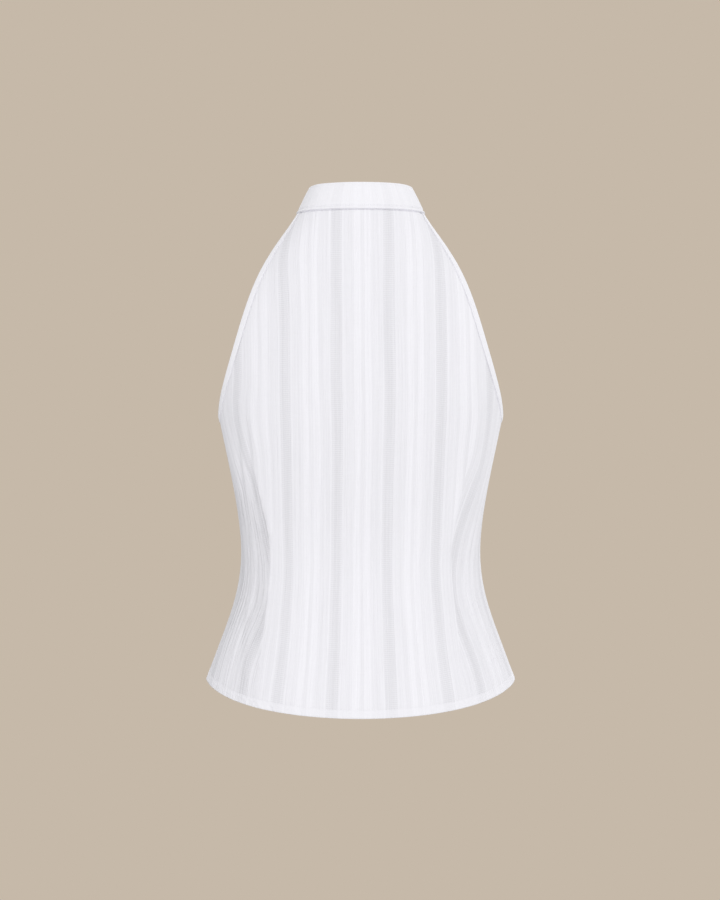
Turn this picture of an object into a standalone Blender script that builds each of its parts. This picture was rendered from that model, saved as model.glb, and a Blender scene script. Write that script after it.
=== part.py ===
"""A sleeveless halter-neck top, hollow and filled out as when it is worn.

The back is one panel with two long waist darts. The front is two panels that button down the
middle, the wearer's right over the left. A stand collar closes the neck and holds the top up.
A narrow binding wraps each armhole. The front faces +Y, the wearer's right is +X, and the
origin is the middle of the collar's seam.

Tables are in millimetres. A point of the cloth has two coordinates on one shared form: an angle
round the body from centre back, and a level, which is a height at the side seam.
"""

import math

import bmesh
import bpy
import numpy as np

MM = 0.001

# Cloth, in millimetres
CLOTH = 1.2
HEM_CLOTH = 1.9
HEM_DEPTH = 9.0
SEAM_GAP = 0.4
FRONT_OVERLAP = 12.0
FRONT_STEP_IN = 2.6
FRONT_STEP_RUN = 20.0
DART_GROOVE = 0.6

# Collar band, binding and buttons, in millimetres
COLLAR_WALL = 2.4
COLLAR_PROUD = 1.2
COLLAR_TOP = 27.0
COLLAR_ROUNDING = 0.8
BINDING_WIDTH = 6.0
BINDING_WALL = 0.8
BINDING_GAP = 0.5
BUTTON_ACROSS = 11.0
BUTTON_THICK = 2.5
BUTTON_GAP = 0.3
BUTTON_BEVEL = 0.5
BUTTON_SIDES = 16
COLLAR_BUTTON_LEVEL = 12.0
TOP_BUTTON_LEVEL = -34.0
BUTTON_SPACING = 69.0
FRONT_BUTTONS = 7

# Levels that the panels are built between, in millimetres
UNDERARM = -222.0
CENTRE_AT_UNDERARM = -234.0
HEM = -514.0
DART_TIP = -238.0

# Steps of the grids, and where the two columns of the front flap lie across it
ARMHOLE_ROWS = 18
BODY_ROWS = 14
HALF_BACK_COLUMNS = 15
FRONT_COLUMNS = 16
COLLAR_STATIONS = 56
FLAP_STEPS = (1.0, 0.5)
EDGE_ROW_SLOWING = 0.4
EDGE_COLUMN_CROWDING = 0.12
DART_FADE = 60.0
SHARP_EDGE_DEGREES = 50.0
LEVEL_MARGIN = 0.01

# Small steps for slopes and for solving
TURN_STEP = 0.002
RISE_STEP = 0.2
WIDTH_ROUNDS = 40

# How square the form is: at the back, at the bust, and how flat it is across its middle. Then how
# far the curved hem keeps its height beside the side seams
SQUARE_BACK = 0.12
SQUARE_FRONT = 0.20
FLAT_MIDDLE = 0.08
HEM_CORNER = 0.8

# The form at each level: its half width, the y of its centre back, centre front and side, and
# how far the level rises towards the centre back (tilt) and at both centres (bow)
FORM = (
    # level, half_width, back_y, front_y, side_y, tilt, bow
    (HEM, 171.5, -113.0, 112.0, 0.0, 0.0, -19.0),
    (-470.0, 155.0, -104.0, 104.0, 2.0, 0.0, -13.0),
    (-425.0, 139.5, -91.0, 95.0, 4.0, 0.0, -7.5),
    (-380.0, 132.2, -81.0, 88.0, 6.0, 0.0, -3.0),
    (-335.0, 134.6, -82.0, 99.0, 7.0, 0.0, -1.0),
    (-285.0, 143.0, -90.0, 120.0, 7.0, 0.5, 0.0),
    (-235.0, 153.2, -97.0, 131.0, 6.0, 1.0, 0.0),
    (-190.0, 160.5, -99.0, 127.0, 4.0, 2.5, -0.5),
    (-145.0, 160.0, -96.0, 113.0, 2.0, 4.0, -1.0),
    (-100.0, 147.0, -89.0, 94.0, 0.0, 6.0, -1.0),
    (-60.0, 121.5, -79.0, 76.0, -1.0, 8.0, -1.5),
    (-25.0, 89.5, -67.0, 62.0, -1.0, 9.5, -2.0),
    (0.0, 68.6, -57.0, 54.0, 0.0, 10.0, -2.0),
    (14.0, 61.4, -52.0, 50.0, 1.0, 10.0, -2.0),
    (COLLAR_TOP, 54.8, -47.0, 47.0, 2.0, 10.0, -2.0),
)

# Half the width between the two armhole edges, at the back and at the front
ARMHOLE = (
    # level, back, front
    (0.0, 66.6, 66.2),
    (-15.0, 75.6, 74.0),
    (-30.0, 86.0, 81.0),
    (-60.0, 104.9, 94.0),
    (-100.0, 122.0, 106.0),
    (-140.0, 134.8, 116.0),
    (-175.0, 145.4, 128.5),
    (-200.0, 152.0, 143.0),
)

# Half the distance between a pair of long waist darts
DART = (
    # level, back, front
    (HEM, 113.0, 104.0),
    (-440.0, 103.0, 93.0),
    (-380.0, 96.5, 85.0),
    (-340.0, 98.0, 87.0),
    (-290.0, 109.0, 95.0),
    (DART_TIP, 118.0, 100.0),
)

# How far the back bends outwards along its darts, and how soon the bend is lost beside them
BEND = (
    # level, distance out
    (HEM, 1.0),
    (-470.0, 1.6),
    (-420.0, 3.0),
    (-370.0, 3.4),
    (-320.0, 2.4),
    (-270.0, 0.8),
    (DART_TIP, 0.0),
)
BEND_INSIDE = 60.0
BEND_OUTSIDE = 34.0

FABRIC = (0.82, 0.81, 0.85, 1.0)
COLLAR_FABRIC = (0.86, 0.85, 0.89, 1.0)
BINDING_FABRIC = (0.88, 0.87, 0.90, 1.0)
BUTTON_SHELL = (0.90, 0.89, 0.88, 1.0)


def clear_scene():
    for obj in list(bpy.data.objects):
        bpy.data.objects.remove(obj, do_unlink=True)


def make_collection():
    collection = bpy.data.collections.new("sleeveless_top")
    bpy.context.scene.collection.children.link(collection)
    return collection


def make_material(name, colour, roughness):
    material = bpy.data.materials.new(name)
    material.use_nodes = True
    shader = material.node_tree.nodes["Principled BSDF"]
    shader.inputs["Base Color"].default_value = colour
    shader.inputs["Roughness"].default_value = roughness
    shader.inputs["Metallic"].default_value = 0.0
    return material


def read_table(table, at):
    """Each column of a table, at the given levels, on a natural cubic spline through its rows."""
    rows = np.array(sorted(table), float)
    knots = rows[:, 0]
    values = rows[:, 1:]
    gap = np.diff(knots)
    slope = np.diff(values, axis=0) / gap[:, None]
    matrix = np.eye(len(knots))
    right = np.zeros_like(values)
    for i in range(1, len(knots) - 1):
        matrix[i, i - 1 : i + 2] = gap[i - 1], 2 * (gap[i - 1] + gap[i]), gap[i]
        right[i] = 6 * (slope[i] - slope[i - 1])
    bend = np.linalg.solve(matrix, right)
    at = np.clip(np.asarray(at, float), knots[0], knots[-1])
    k = np.clip(np.searchsorted(knots, at, side="right") - 1, 0, len(knots) - 2)
    step = gap[k][..., None]
    after = (knots[k + 1] - at)[..., None]
    before = (at - knots[k])[..., None]
    curve = (bend[k] * after**3 + bend[k + 1] * before**3) / (6 * step)
    curve = curve + (values[k] / step - bend[k] * step / 6) * after
    curve = curve + (values[k + 1] / step - bend[k + 1] * step / 6) * before
    return np.moveaxis(curve, -1, 0)


def smoothstep(value):
    value = np.clip(value, 0.0, 1.0)
    return value * value * (3.0 - 2.0 * value)


def form_point(angle, level):
    """A point of the form in millimetres. The angle is 0 at centre back and pi at centre front."""
    half, back, front, side, tilt, bow = read_table(FORM, level)
    across = np.sin(angle)
    along = np.cos(angle)
    depth = np.where(along > 0, side - back, front - side)
    square = np.where(along > 0, SQUARE_BACK, SQUARE_FRONT)
    x = half * (across + FLAT_MIDDLE * across * along * along)
    y = side - depth * (along + square * along * across * across)
    corner = HEM_CORNER * np.abs(along) * (1.0 - np.abs(along)) ** 3
    z = level + tilt * along + bow * (along * along - corner)
    return np.stack([x, y, z], -1)


def form_directions(angle, level):
    """The change of a point for one radian and for one millimetre of level, and the outward normal."""
    ahead = form_point(angle + TURN_STEP, level)
    around = (ahead - form_point(angle - TURN_STEP, level)) / (2 * TURN_STEP)
    low = np.clip(level - RISE_STEP, HEM, COLLAR_TOP)
    high = np.clip(level + RISE_STEP, HEM, COLLAR_TOP)
    up = (form_point(angle, high) - form_point(angle, low)) / (high - low)[..., None]
    normal = np.cross(around, up)
    normal /= np.linalg.norm(normal, axis=-1, keepdims=True)
    return around, up, normal


def angle_at_width(half_width, level):
    """The angle, under a right angle, where the form's x is this half width."""
    share = np.clip(half_width / read_table(FORM, level)[0], -1.0, 1.0)
    across = share
    for _ in range(WIDTH_ROUNDS):
        across = share / (1 + FLAT_MIDDLE * (1 - across * across))
    return np.arcsin(np.clip(across, -1.0, 1.0))


def seam_angle(level):
    """Half the side seam's gap, as an angle."""
    around = form_directions(np.full_like(level, math.pi / 2), level)[0]
    return SEAM_GAP / 2 / np.linalg.norm(around, axis=-1)


def edge_angle(level, front):
    """The angle of a panel's outer edge: its armhole edge, and its side seam below the underarm."""
    half_width = float(read_table(FORM, UNDERARM)[0])
    rows = ARMHOLE + ((UNDERARM, half_width, half_width),)
    armhole = angle_at_width(read_table(rows, level)[1 if front else 0], level)
    below = level <= UNDERARM
    angle = np.minimum(np.where(below, math.pi / 2, armhole), math.pi / 2 - seam_angle(level))
    return math.pi - angle if front else angle


def row_levels():
    """The level of each row of a panel, at its outer edge and at its centre line, top to hem."""
    step = np.linspace(0.0, 1.0, ARMHOLE_ROWS + 1)
    turn = math.pi / 2 * (step + EDGE_ROW_SLOWING * step * (step - 1.0))
    edge = -SEAM_GAP + (UNDERARM + SEAM_GAP) * np.sin(turn)
    centre = np.linspace(-SEAM_GAP, CENTRE_AT_UNDERARM, ARMHOLE_ROWS + 1)
    hem_top = HEM + HEM_DEPTH
    edge_below = np.append(np.linspace(UNDERARM, hem_top, BODY_ROWS)[1:], HEM)
    centre_below = np.append(np.linspace(CENTRE_AT_UNDERARM, hem_top, BODY_ROWS)[1:], HEM)
    return np.append(edge, edge_below), np.append(centre, centre_below)


def dart_share(level, edge, front):
    """Where a dart lies between a panel's centre and its outer edge, as a share of the angle."""
    inside = np.clip(level, HEM, DART_TIP)
    angle = angle_at_width(read_table(DART, inside)[1 if front else 0], inside)
    reference = np.where(level > DART_TIP, math.pi / 2, edge)
    return angle / reference


def column_share(steps):
    """Columns from the centre to the outer edge, a little closer together towards the edge."""
    even = np.linspace(0.0, 1.0, steps + 1)
    return even + EDGE_COLUMN_CROWDING * even * (1.0 - even)


def panel_angles(columns, front):
    """Angles and levels of half a panel, rows first, with a column along its dart."""
    edge_level, centre_level = row_levels()
    edge = edge_angle(edge_level, front)
    reach = math.pi - edge if front else edge
    share = column_share(columns)
    dart_column = columns // 2
    dart = dart_share(edge_level, reach, front)[:, None]
    inner = share[: dart_column + 1] / share[dart_column] * dart
    outer_step = (share[dart_column + 1 :] - share[dart_column]) / (1 - share[dart_column])
    outer = dart + outer_step * (1 - dart)
    spread = np.concatenate([inner, outer], axis=1)
    level = centre_level[:, None] + (edge_level - centre_level)[:, None] * spread**2
    angle = spread * reach[:, None]
    return (math.pi - angle if front else angle), level


def dart_depth(level):
    """How far the cloth is drawn in along a dart: nothing at its tip, all of it at the waist."""
    return DART_GROOVE * smoothstep((DART_TIP - level) / DART_FADE)


def dart_bend(points, level, dart_column):
    """How far out the back bends at each column: most along the dart, less and less beside it."""
    steps = np.linalg.norm(np.diff(points, axis=1), axis=-1)
    across = np.concatenate([np.zeros((len(level), 1)), np.cumsum(steps, axis=1)], axis=1)
    beyond = across - across[:, dart_column : dart_column + 1]
    reach = np.where(beyond > 0.0, BEND_OUTSIDE, BEND_INSIDE)
    inside = np.clip(level, HEM, DART_TIP)
    return read_table(BEND, inside)[0] * np.exp(-np.abs(beyond) / reach)


def back_points():
    """Outer points of the back panel, rows from the collar to the hem."""
    angle, level = panel_angles(HALF_BACK_COLUMNS, front=False)
    dart_column = HALF_BACK_COLUMNS // 2
    inward = -dart_bend(form_point(angle, level), level, dart_column)
    inward[:, dart_column] += dart_depth(level[:, dart_column])
    angle = np.concatenate([-angle[:, :0:-1], angle], axis=1)
    level = np.concatenate([level[:, :0:-1], level], axis=1)
    inward = np.concatenate([inward[:, :0:-1], inward], axis=1)
    normal = form_directions(angle, level)[2]
    return form_point(angle, level) - normal * inward[..., None], level


def front_points(side):
    """Outer points of a front panel. Side is 1 for the wearer's right, on top, and -1 for the left."""
    angle, level = panel_angles(FRONT_COLUMNS, front=True)
    half = read_table(FORM, level[:, :1])[0]
    overlap = np.arcsin(FRONT_OVERLAP / (half * (1 + FLAT_MIDDLE)))
    flap_columns = [math.pi + overlap * step for step in FLAP_STEPS]
    angle = np.concatenate([*flap_columns, angle], axis=1)
    level = np.concatenate([level[:, :1], level[:, :1], level], axis=1)
    normal = form_directions(angle, level)[2]
    points = form_point(angle, level)
    inward = np.zeros_like(level)
    dart_column = FRONT_COLUMNS // 2 + len(FLAP_STEPS)
    inward[:, dart_column] = dart_depth(level[:, dart_column])
    if side < 0:
        past = FRONT_OVERLAP + FRONT_STEP_RUN - points[..., 0]
        inward += FRONT_STEP_IN * smoothstep(past / FRONT_STEP_RUN)
    points = points - normal * inward[..., None]
    points[..., 0] *= side
    return points, level


def add_object(collection, name, mesh, material):
    obj = bpy.data.objects.new(name, mesh)
    obj.data.materials.append(material)
    collection.objects.link(obj)
    mesh.shade_smooth()
    mesh.set_sharp_from_angle(angle=math.radians(SHARP_EDGE_DEGREES))
    return obj


def make_panel(collection, name, points, level, material):
    """A grid moved onto the panel's points, with a wall inwards that is thicker along the hem."""
    rows, columns = level.shape
    grid = bmesh.new()
    bmesh.ops.create_grid(grid, x_segments=columns - 1, y_segments=rows - 1, size=0.5)
    for vert in grid.verts:
        row = round((0.5 - vert.co.y) * (rows - 1))
        column = round((vert.co.x + 0.5) * (columns - 1))
        vert.co = points[row, column] * MM
    grid.normal_update()
    facing = sum(face.normal.x * face.calc_center_median().x for face in grid.faces)
    facing += sum(face.normal.y * face.calc_center_median().y for face in grid.faces)
    if facing < 0:
        bmesh.ops.reverse_faces(grid, faces=grid.faces)
    mesh = bpy.data.meshes.new(name)
    grid.to_mesh(mesh)
    grid.free()
    obj = add_object(collection, name, mesh, material)
    group = obj.vertex_groups.new(name="hem")
    hem_points = points[level <= HEM + HEM_DEPTH + LEVEL_MARGIN] * MM
    hem_keys = {tuple(np.round(point, 6)) for point in hem_points}
    for vert in mesh.vertices:
        if tuple(np.round(np.array(vert.co), 6)) in hem_keys:
            group.add([vert.index], 1.0, "REPLACE")
    wall = obj.modifiers.new("wall", "SOLIDIFY")
    wall.thickness = HEM_CLOTH * MM
    wall.offset = -1.0
    wall.vertex_group = group.name
    wall.thickness_vertex_group = CLOTH / HEM_CLOTH
    return obj


def make_loft(collection, name, sections, material):
    """A closed solid through sections with equal numbers of points, closed flat at both ends."""
    count = len(sections[0])
    solid = bmesh.new()
    rings = [[solid.verts.new(point * MM) for point in section] for section in sections]
    for ring, following in zip(rings, rings[1:]):
        for i in range(count):
            j = (i + 1) % count
            solid.faces.new((ring[i], ring[j], following[j], following[i]))
    solid.faces.new(rings[0][::-1])
    solid.faces.new(rings[-1])
    bmesh.ops.triangulate(solid, faces=solid.faces)
    bmesh.ops.recalc_face_normals(solid, faces=solid.faces)
    mesh = bpy.data.meshes.new(name)
    solid.to_mesh(mesh)
    solid.free()
    return add_object(collection, name, mesh, material)


def make_collar(collection, material):
    """One band round the neck. Its right end lies over its left end at the centre front."""
    half = float(read_table(FORM, 0.0)[0])
    overlap = math.asin(FRONT_OVERLAP / (half * (1 + FLAT_MIDDLE)))
    angles = np.linspace(-math.pi - overlap, math.pi + overlap, COLLAR_STATIONS + 1)
    inner = COLLAR_PROUD - COLLAR_WALL
    top = COLLAR_TOP - COLLAR_ROUNDING
    outline = (
        # level, distance out from the form
        (0.0, inner),
        (0.0, COLLAR_PROUD),
        (COLLAR_TOP / 3, COLLAR_PROUD),
        (COLLAR_TOP * 2 / 3, COLLAR_PROUD),
        (top, COLLAR_PROUD),
        (COLLAR_TOP, COLLAR_PROUD - COLLAR_ROUNDING),
        (COLLAR_TOP, inner + COLLAR_ROUNDING),
        (top, inner),
        (COLLAR_TOP * 2 / 3, inner),
        (COLLAR_TOP / 3, inner),
    )
    levels = np.array([row[0] for row in outline])
    out = np.array([row[1] for row in outline])
    sections = []
    for angle in angles:
        spread = np.full_like(levels, angle)
        points = form_point(spread, levels)
        normal = form_directions(spread, levels)[2]
        from_left_end = (angle - angles[0]) * half
        past = 2 * FRONT_OVERLAP + FRONT_STEP_RUN - from_left_end
        step_in = (COLLAR_WALL + SEAM_GAP) * float(smoothstep(past / FRONT_STEP_RUN))
        sections.append(points + normal * (out - step_in)[:, None])
    return make_loft(collection, "collar", sections, material)


def armhole_path():
    """Angles and levels along an armhole edge: down the back, round the underarm, up the front."""
    level = row_levels()[0][: ARMHOLE_ROWS + 1]
    back = edge_angle(level, front=False)
    front = edge_angle(level, front=True)
    angles = np.concatenate([back[:-1], [math.pi / 2], front[-2::-1]])
    levels = np.concatenate([level[:-1], [UNDERARM], level[-2::-1]])
    return angles, levels


def make_binding(collection, name, side, material):
    """A folded strip whose two legs hold the armhole edge between them."""
    angles, levels = armhole_path()
    path = form_point(angles, levels)
    tangents = np.gradient(path, axis=0)
    tangents /= np.linalg.norm(tangents, axis=-1, keepdims=True)
    around, up, normals = form_directions(angles, levels)
    inwards = np.cross(tangents, normals)
    if inwards[ARMHOLE_ROWS][2] > 0:
        inwards = -inwards
    for end in (0, -1):
        along_seam = around[end] / np.linalg.norm(around[end])
        slant = float(np.dot(along_seam, inwards[end]))
        inwards[end] = along_seam / slant
    gap = BINDING_GAP
    skin = BINDING_GAP + BINDING_WALL
    sections = []
    for i, edge in enumerate(path):
        step = inwards[i] * BINDING_WIDTH
        basis = np.stack([around[i], up[i]], axis=1)
        move = np.linalg.lstsq(basis, step, rcond=None)[0]
        reach_angle = np.array([angles[i] + move[0]])
        reach_level = np.minimum(np.array([levels[i] + move[1]]), -SEAM_GAP)
        reach = form_point(reach_angle, reach_level)[0]
        lean = form_directions(reach_angle, reach_level)[2][0]
        normal = normals[i]
        inwards_unit = inwards[i] / np.linalg.norm(inwards[i])
        sections.append(
            np.array(
                [
                    reach + lean * skin,
                    edge - inwards_unit * gap + normal * skin,
                    edge - inwards_unit * skin + normal * gap / 2,
                    edge - inwards_unit * skin - normal * (CLOTH + gap / 2),
                    edge - inwards_unit * gap - normal * (CLOTH + skin),
                    reach - lean * (CLOTH + skin),
                    reach - lean * (CLOTH + gap),
                    edge - inwards_unit * gap / 2 - normal * (CLOTH + gap),
                    edge - inwards_unit * gap / 2 + normal * gap,
                    reach + lean * gap,
                ]
            )
        )
    sections = [section * np.array([side, 1.0, 1.0]) for section in sections]
    return make_loft(collection, name, sections, material)


def make_button(collection, name, level, proud, material):
    """A flat round button on the centre front, its back just off cloth that lies this far out."""
    angle = np.array([math.pi])
    place = form_point(angle, np.array([level]))[0]
    normal = form_directions(angle, np.array([level]))[2][0]
    round_it = form_point(np.full(2, math.pi), level + np.array([-1.0, 1.0]) * BUTTON_ACROSS)
    rest_height = proud + max(0.0, float(np.max((round_it - place) @ normal)))
    middle = place + normal * (rest_height + BUTTON_GAP + BUTTON_THICK / 2)
    disc = bmesh.new()
    bmesh.ops.create_cone(
        disc,
        cap_ends=True,
        segments=BUTTON_SIDES,
        radius1=BUTTON_ACROSS / 2 * MM,
        radius2=BUTTON_ACROSS / 2 * MM,
        depth=BUTTON_THICK * MM,
    )
    mesh = bpy.data.meshes.new(name)
    disc.to_mesh(mesh)
    disc.free()
    obj = add_object(collection, name, mesh, material)
    obj.location = middle * MM
    obj.rotation_euler = (-math.atan2(normal[1], normal[2]), 0.0, 0.0)
    edge = obj.modifiers.new("edge", "BEVEL")
    edge.width = BUTTON_BEVEL * MM
    edge.segments = 1
    return obj


def main():
    clear_scene()
    collection = make_collection()
    fabric = make_material("striped_fabric", FABRIC, 0.85)
    collar_fabric = make_material("collar_fabric", COLLAR_FABRIC, 0.80)
    binding_fabric = make_material("binding_fabric", BINDING_FABRIC, 0.75)
    shell = make_material("button_shell", BUTTON_SHELL, 0.35)
    make_panel(collection, "back_panel", *back_points(), fabric)
    make_panel(collection, "front_right", *front_points(1), fabric)
    make_panel(collection, "front_left", *front_points(-1), fabric)
    make_collar(collection, collar_fabric)
    make_binding(collection, "armhole_binding_right", 1, binding_fabric)
    make_binding(collection, "armhole_binding_left", -1, binding_fabric)
    make_button(collection, "button_collar", COLLAR_BUTTON_LEVEL, COLLAR_PROUD, shell)
    for i in range(FRONT_BUTTONS):
        level = TOP_BUTTON_LEVEL - i * BUTTON_SPACING
        make_button(collection, f"button_front_{i + 1}", level, 0.0, shell)


main()
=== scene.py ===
"""A sleeveless halter-neck top in fine white striped cotton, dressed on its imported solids.

Every cloth piece is a thin shell on the same form as its solid: a body whose sections are
worked out from half width, back, front and side at a few levels. A point of the cloth has an
angle round the body, 0 at centre back and pi at centre front, and a level, which is its height
at the side seam. Tables are in millimetres. The front faces +Y and the wearer's right is +X.
"""

import math

import bmesh
import bpy
import numpy as np
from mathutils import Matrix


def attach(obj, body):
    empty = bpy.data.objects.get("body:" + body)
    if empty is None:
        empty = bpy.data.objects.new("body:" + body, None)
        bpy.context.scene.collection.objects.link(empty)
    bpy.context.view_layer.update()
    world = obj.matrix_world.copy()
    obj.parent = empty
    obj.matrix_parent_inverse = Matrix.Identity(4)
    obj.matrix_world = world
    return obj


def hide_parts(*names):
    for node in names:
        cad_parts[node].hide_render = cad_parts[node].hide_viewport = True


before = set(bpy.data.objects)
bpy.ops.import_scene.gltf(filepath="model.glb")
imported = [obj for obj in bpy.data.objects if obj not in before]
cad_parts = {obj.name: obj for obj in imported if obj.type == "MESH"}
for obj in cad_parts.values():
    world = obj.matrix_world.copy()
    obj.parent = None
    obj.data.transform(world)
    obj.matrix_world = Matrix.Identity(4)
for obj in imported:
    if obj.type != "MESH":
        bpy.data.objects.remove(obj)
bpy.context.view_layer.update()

MM = 0.001
HALF_TURN = math.pi
QUARTER = math.pi / 2

# Levels and sizes that the solids have too, in millimetres
UNDERARM = -222.0
CENTRE_AT_UNDERARM = -234.0
HEM = -514.0
HEM_DEPTH = 9.0
DART_TIP = -238.0
COLLAR_TOP = 27.0
COLLAR_PROUD = 1.2
COLLAR_WALL = 2.4
FRONT_OVERLAP = 12.0
FRONT_STEP_IN = 2.6
FRONT_STEP_RUN = 20.0
BUTTON_ACROSS = 11.0
BUTTON_THICK = 2.5
BUTTON_GAP = 0.3
HOLE_RADIUS = 0.8
HOLE_APART = 1.35
COLLAR_BUTTON_LEVEL = 12.0
TOP_BUTTON_LEVEL = -34.0
BUTTON_SPACING = 69.0
FRONT_BUTTONS = 7
SQUARE_BACK = 0.12
SQUARE_FRONT = 0.20
FLAT_MIDDLE = 0.08
HEM_CORNER = 0.8

FORM = (
    # level, half_width, back_y, front_y, side_y, tilt, bow
    (HEM, 171.5, -113.0, 112.0, 0.0, 0.0, -19.0),
    (-470.0, 155.0, -104.0, 104.0, 2.0, 0.0, -13.0),
    (-425.0, 139.5, -91.0, 95.0, 4.0, 0.0, -7.5),
    (-380.0, 132.2, -81.0, 88.0, 6.0, 0.0, -3.0),
    (-335.0, 134.6, -82.0, 99.0, 7.0, 0.0, -1.0),
    (-285.0, 143.0, -90.0, 120.0, 7.0, 0.5, 0.0),
    (-235.0, 153.2, -97.0, 131.0, 6.0, 1.0, 0.0),
    (-190.0, 160.5, -99.0, 127.0, 4.0, 2.5, -0.5),
    (-145.0, 160.0, -96.0, 113.0, 2.0, 4.0, -1.0),
    (-100.0, 147.0, -89.0, 94.0, 0.0, 6.0, -1.0),
    (-60.0, 121.5, -79.0, 76.0, -1.0, 8.0, -1.5),
    (-25.0, 89.5, -67.0, 62.0, -1.0, 9.5, -2.0),
    (0.0, 68.6, -57.0, 54.0, 0.0, 10.0, -2.0),
    (14.0, 61.4, -52.0, 50.0, 1.0, 10.0, -2.0),
    (COLLAR_TOP, 54.8, -47.0, 47.0, 2.0, 10.0, -2.0),
)

ARMHOLE = (
    # level, back half width, front half width
    (0.0, 66.6, 66.2),
    (-15.0, 75.6, 74.0),
    (-30.0, 86.0, 81.0),
    (-60.0, 104.9, 94.0),
    (-100.0, 122.0, 106.0),
    (-140.0, 134.8, 116.0),
    (-175.0, 145.4, 128.5),
    (-200.0, 152.0, 143.0),
)

DART = (
    # level, back half distance, front half distance
    (HEM, 113.0, 104.0),
    (-440.0, 103.0, 93.0),
    (-380.0, 96.5, 85.0),
    (-340.0, 98.0, 87.0),
    (-290.0, 109.0, 95.0),
    (DART_TIP, 118.0, 100.0),
)

# How far the back bends outwards along its darts, and how soon the bend is lost beside them
BEND = (
    # level, distance out
    (HEM, 1.0),
    (-470.0, 1.6),
    (-420.0, 3.0),
    (-370.0, 3.4),
    (-320.0, 2.4),
    (-270.0, 0.8),
    (DART_TIP, 0.0),
)
BEND_INSIDE = 60.0
BEND_OUTSIDE = 34.0
BEND_ROUNDING = 4.0

# How the flat cloth lies on the form: cloth for each millimetre of the form, and the cloth that a
# dart takes in
EASE = (
    # level, cloth for a millimetre, dart intake
    (HEM, 0.91, 20.0),
    (-475.0, 0.95, 22.0),
    (-445.0, 0.98, 29.0),
    (-415.0, 1.005, 37.0),
    (-380.0, 1.045, 36.0),
    (-345.0, 1.055, 29.0),
    (-315.0, 1.05, 21.0),
    (-290.0, 1.04, 13.0),
    (-265.0, 1.03, 3.0),
    (DART_TIP, 1.02, 0.0),
    (-200.0, 1.0, 0.0),
    (0.0, 1.0, 0.0),
)

# How far the back's stripes have slipped round the form, at six places across it
SLIP_PLACES = (-140.0, -85.0, -28.0, 28.0, 85.0, 140.0)
STRIPE_SLIP = (
    # level, and the slip at each place
    (-50.0, 0.0, -2.0, 0.5, -1.0, -2.0, 0.0),
    (-110.0, 1.0, 3.0, 1.0, -1.0, -2.5, 1.0),
    (-180.0, 1.0, 2.5, 1.0, 0.5, -1.0, 4.0),
    (-220.0, -4.5, 1.5, 1.5, 0.5, 0.0, 9.0),
    (-260.0, 3.0, 0.5, 1.0, 0.0, 0.5, 8.0),
    (-300.0, 3.0, 0.0, 0.0, -0.5, 0.5, 7.5),
    (-340.0, 1.0, 0.0, -1.0, -0.5, -0.5, 1.5),
    (-400.0, -0.5, 2.0, -1.0, -1.0, -3.0, -4.0),
    (-450.0, -5.5, 1.5, -1.5, -0.5, -2.0, -2.0),
    (-500.0, -4.5, -1.0, -2.5, 0.0, 1.0, 2.5),
)

# Fine grids of the shells: rows, columns and stations are counts
NECK_ROWS = 14
NECK_FOOT = -5.0
ARMHOLE_ROWS = 84
BODY_ROWS = 90
HEM_ROWS = 10
HEM_ROWS_PAST = 3.0
HALF_BACK_COLUMNS = 110
FRONT_COLUMNS = 104
FLAP_COLUMNS = 10
BINDING_STATIONS = 300
COLLAR_STATIONS = 320
EDGE_ROW_SLOWING = 0.4
CROWDING = 0.6
TUCK = 1.5

# Angles in degrees from which an edge is shown sharp
SHARP_CLOTH = 60.0
SHARP_SHELL = 40.0

# Cloth and its seams, in millimetres
SHELL = 0.7
DOUBLED_SHELL = 1.5
SEAM_TOP = UNDERARM + 4.0
SEAM_VALLEY = 0.8
SEAM_VALLEY_WIDTH = 1.0
PLACKET_LIFT = 0.35
PLACKET_EDGE = 0.9
PLACKET_STITCHES = (FRONT_OVERLAP - 2.0, 2.0 - FRONT_OVERLAP)
PLACKET_GROOVE = 0.15
PLACKET_GROOVE_WIDTH = 0.9

# Darts, in millimetres. They are crispest at the waist, and elsewhere crisp by the least share
DART_VALLEY = 0.28
DART_VALLEY_WIDTH = 0.8
DART_RIDGE = 0.22
DART_RIDGE_WIDTH = 4.5
DART_FADE = 60.0
WAIST = -385.0
DART_CRISP_REACH = 70.0
DART_LEAST_CRISP = 0.45

# Hem, in millimetres. Its slanting puckers are deeper on the wearer's left, by this share
HEM_GROOVE = 0.30
HEM_GROOVE_WIDTH = 1.1
HEM_STITCHES_IN = 0.6
HEM_SLANTING_UP = 4.0
HEM_LEFT_STARTS = 60.0
HEM_LEFT_RUN = 40.0
HEM_MORE_LEFT = 1.6

# Binding, and the cloth beside it, in millimetres
BINDING_WIDTH = 6.0
BINDING_SKIN = 0.7
BINDING_CLEAR = 0.03
BINDING_STITCHES = 4.7
BINDING_STITCH_SINK = 0.17
BINDING_STITCH_GROOVE = 0.22
BINDING_STITCH_GROOVE_WIDTH = 0.8
BINDING_GROOVE = 0.9
BINDING_GROOVE_WIDTH = 0.75
BINDING_GROOVE_PAST = 1.0
BINDING_PUCKER_PAST = 2.0
BINDING_RELIEF_RUN = 10.0

# Collar, and the cloth under it, in millimetres. Its inner face has a share of the outer's relief
COLLAR_ROUNDING = 1.1
COLLAR_FOOT_ROUNDING = 0.5
COLLAR_FOOT = -0.6
COLLAR_STEP_IN = 0.4
COLLAR_FULLNESS = 0.22
COLLAR_SLANT = 1.2
COLLAR_INNER_RELIEF = -0.4
NECK_GROOVE = 1.9
NECK_GROOVE_WIDTH = 0.75
NECK_GROOVE_LEVEL = -1.2
LOWER_STITCHES = 2.3
UPPER_STITCHES = COLLAR_TOP - 2.6
COLLAR_GROOVES = (
    # level, depth, width
    (LOWER_STITCHES, 1.05, 0.85),
    (UPPER_STITCHES, 0.30, 0.9),
)

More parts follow.
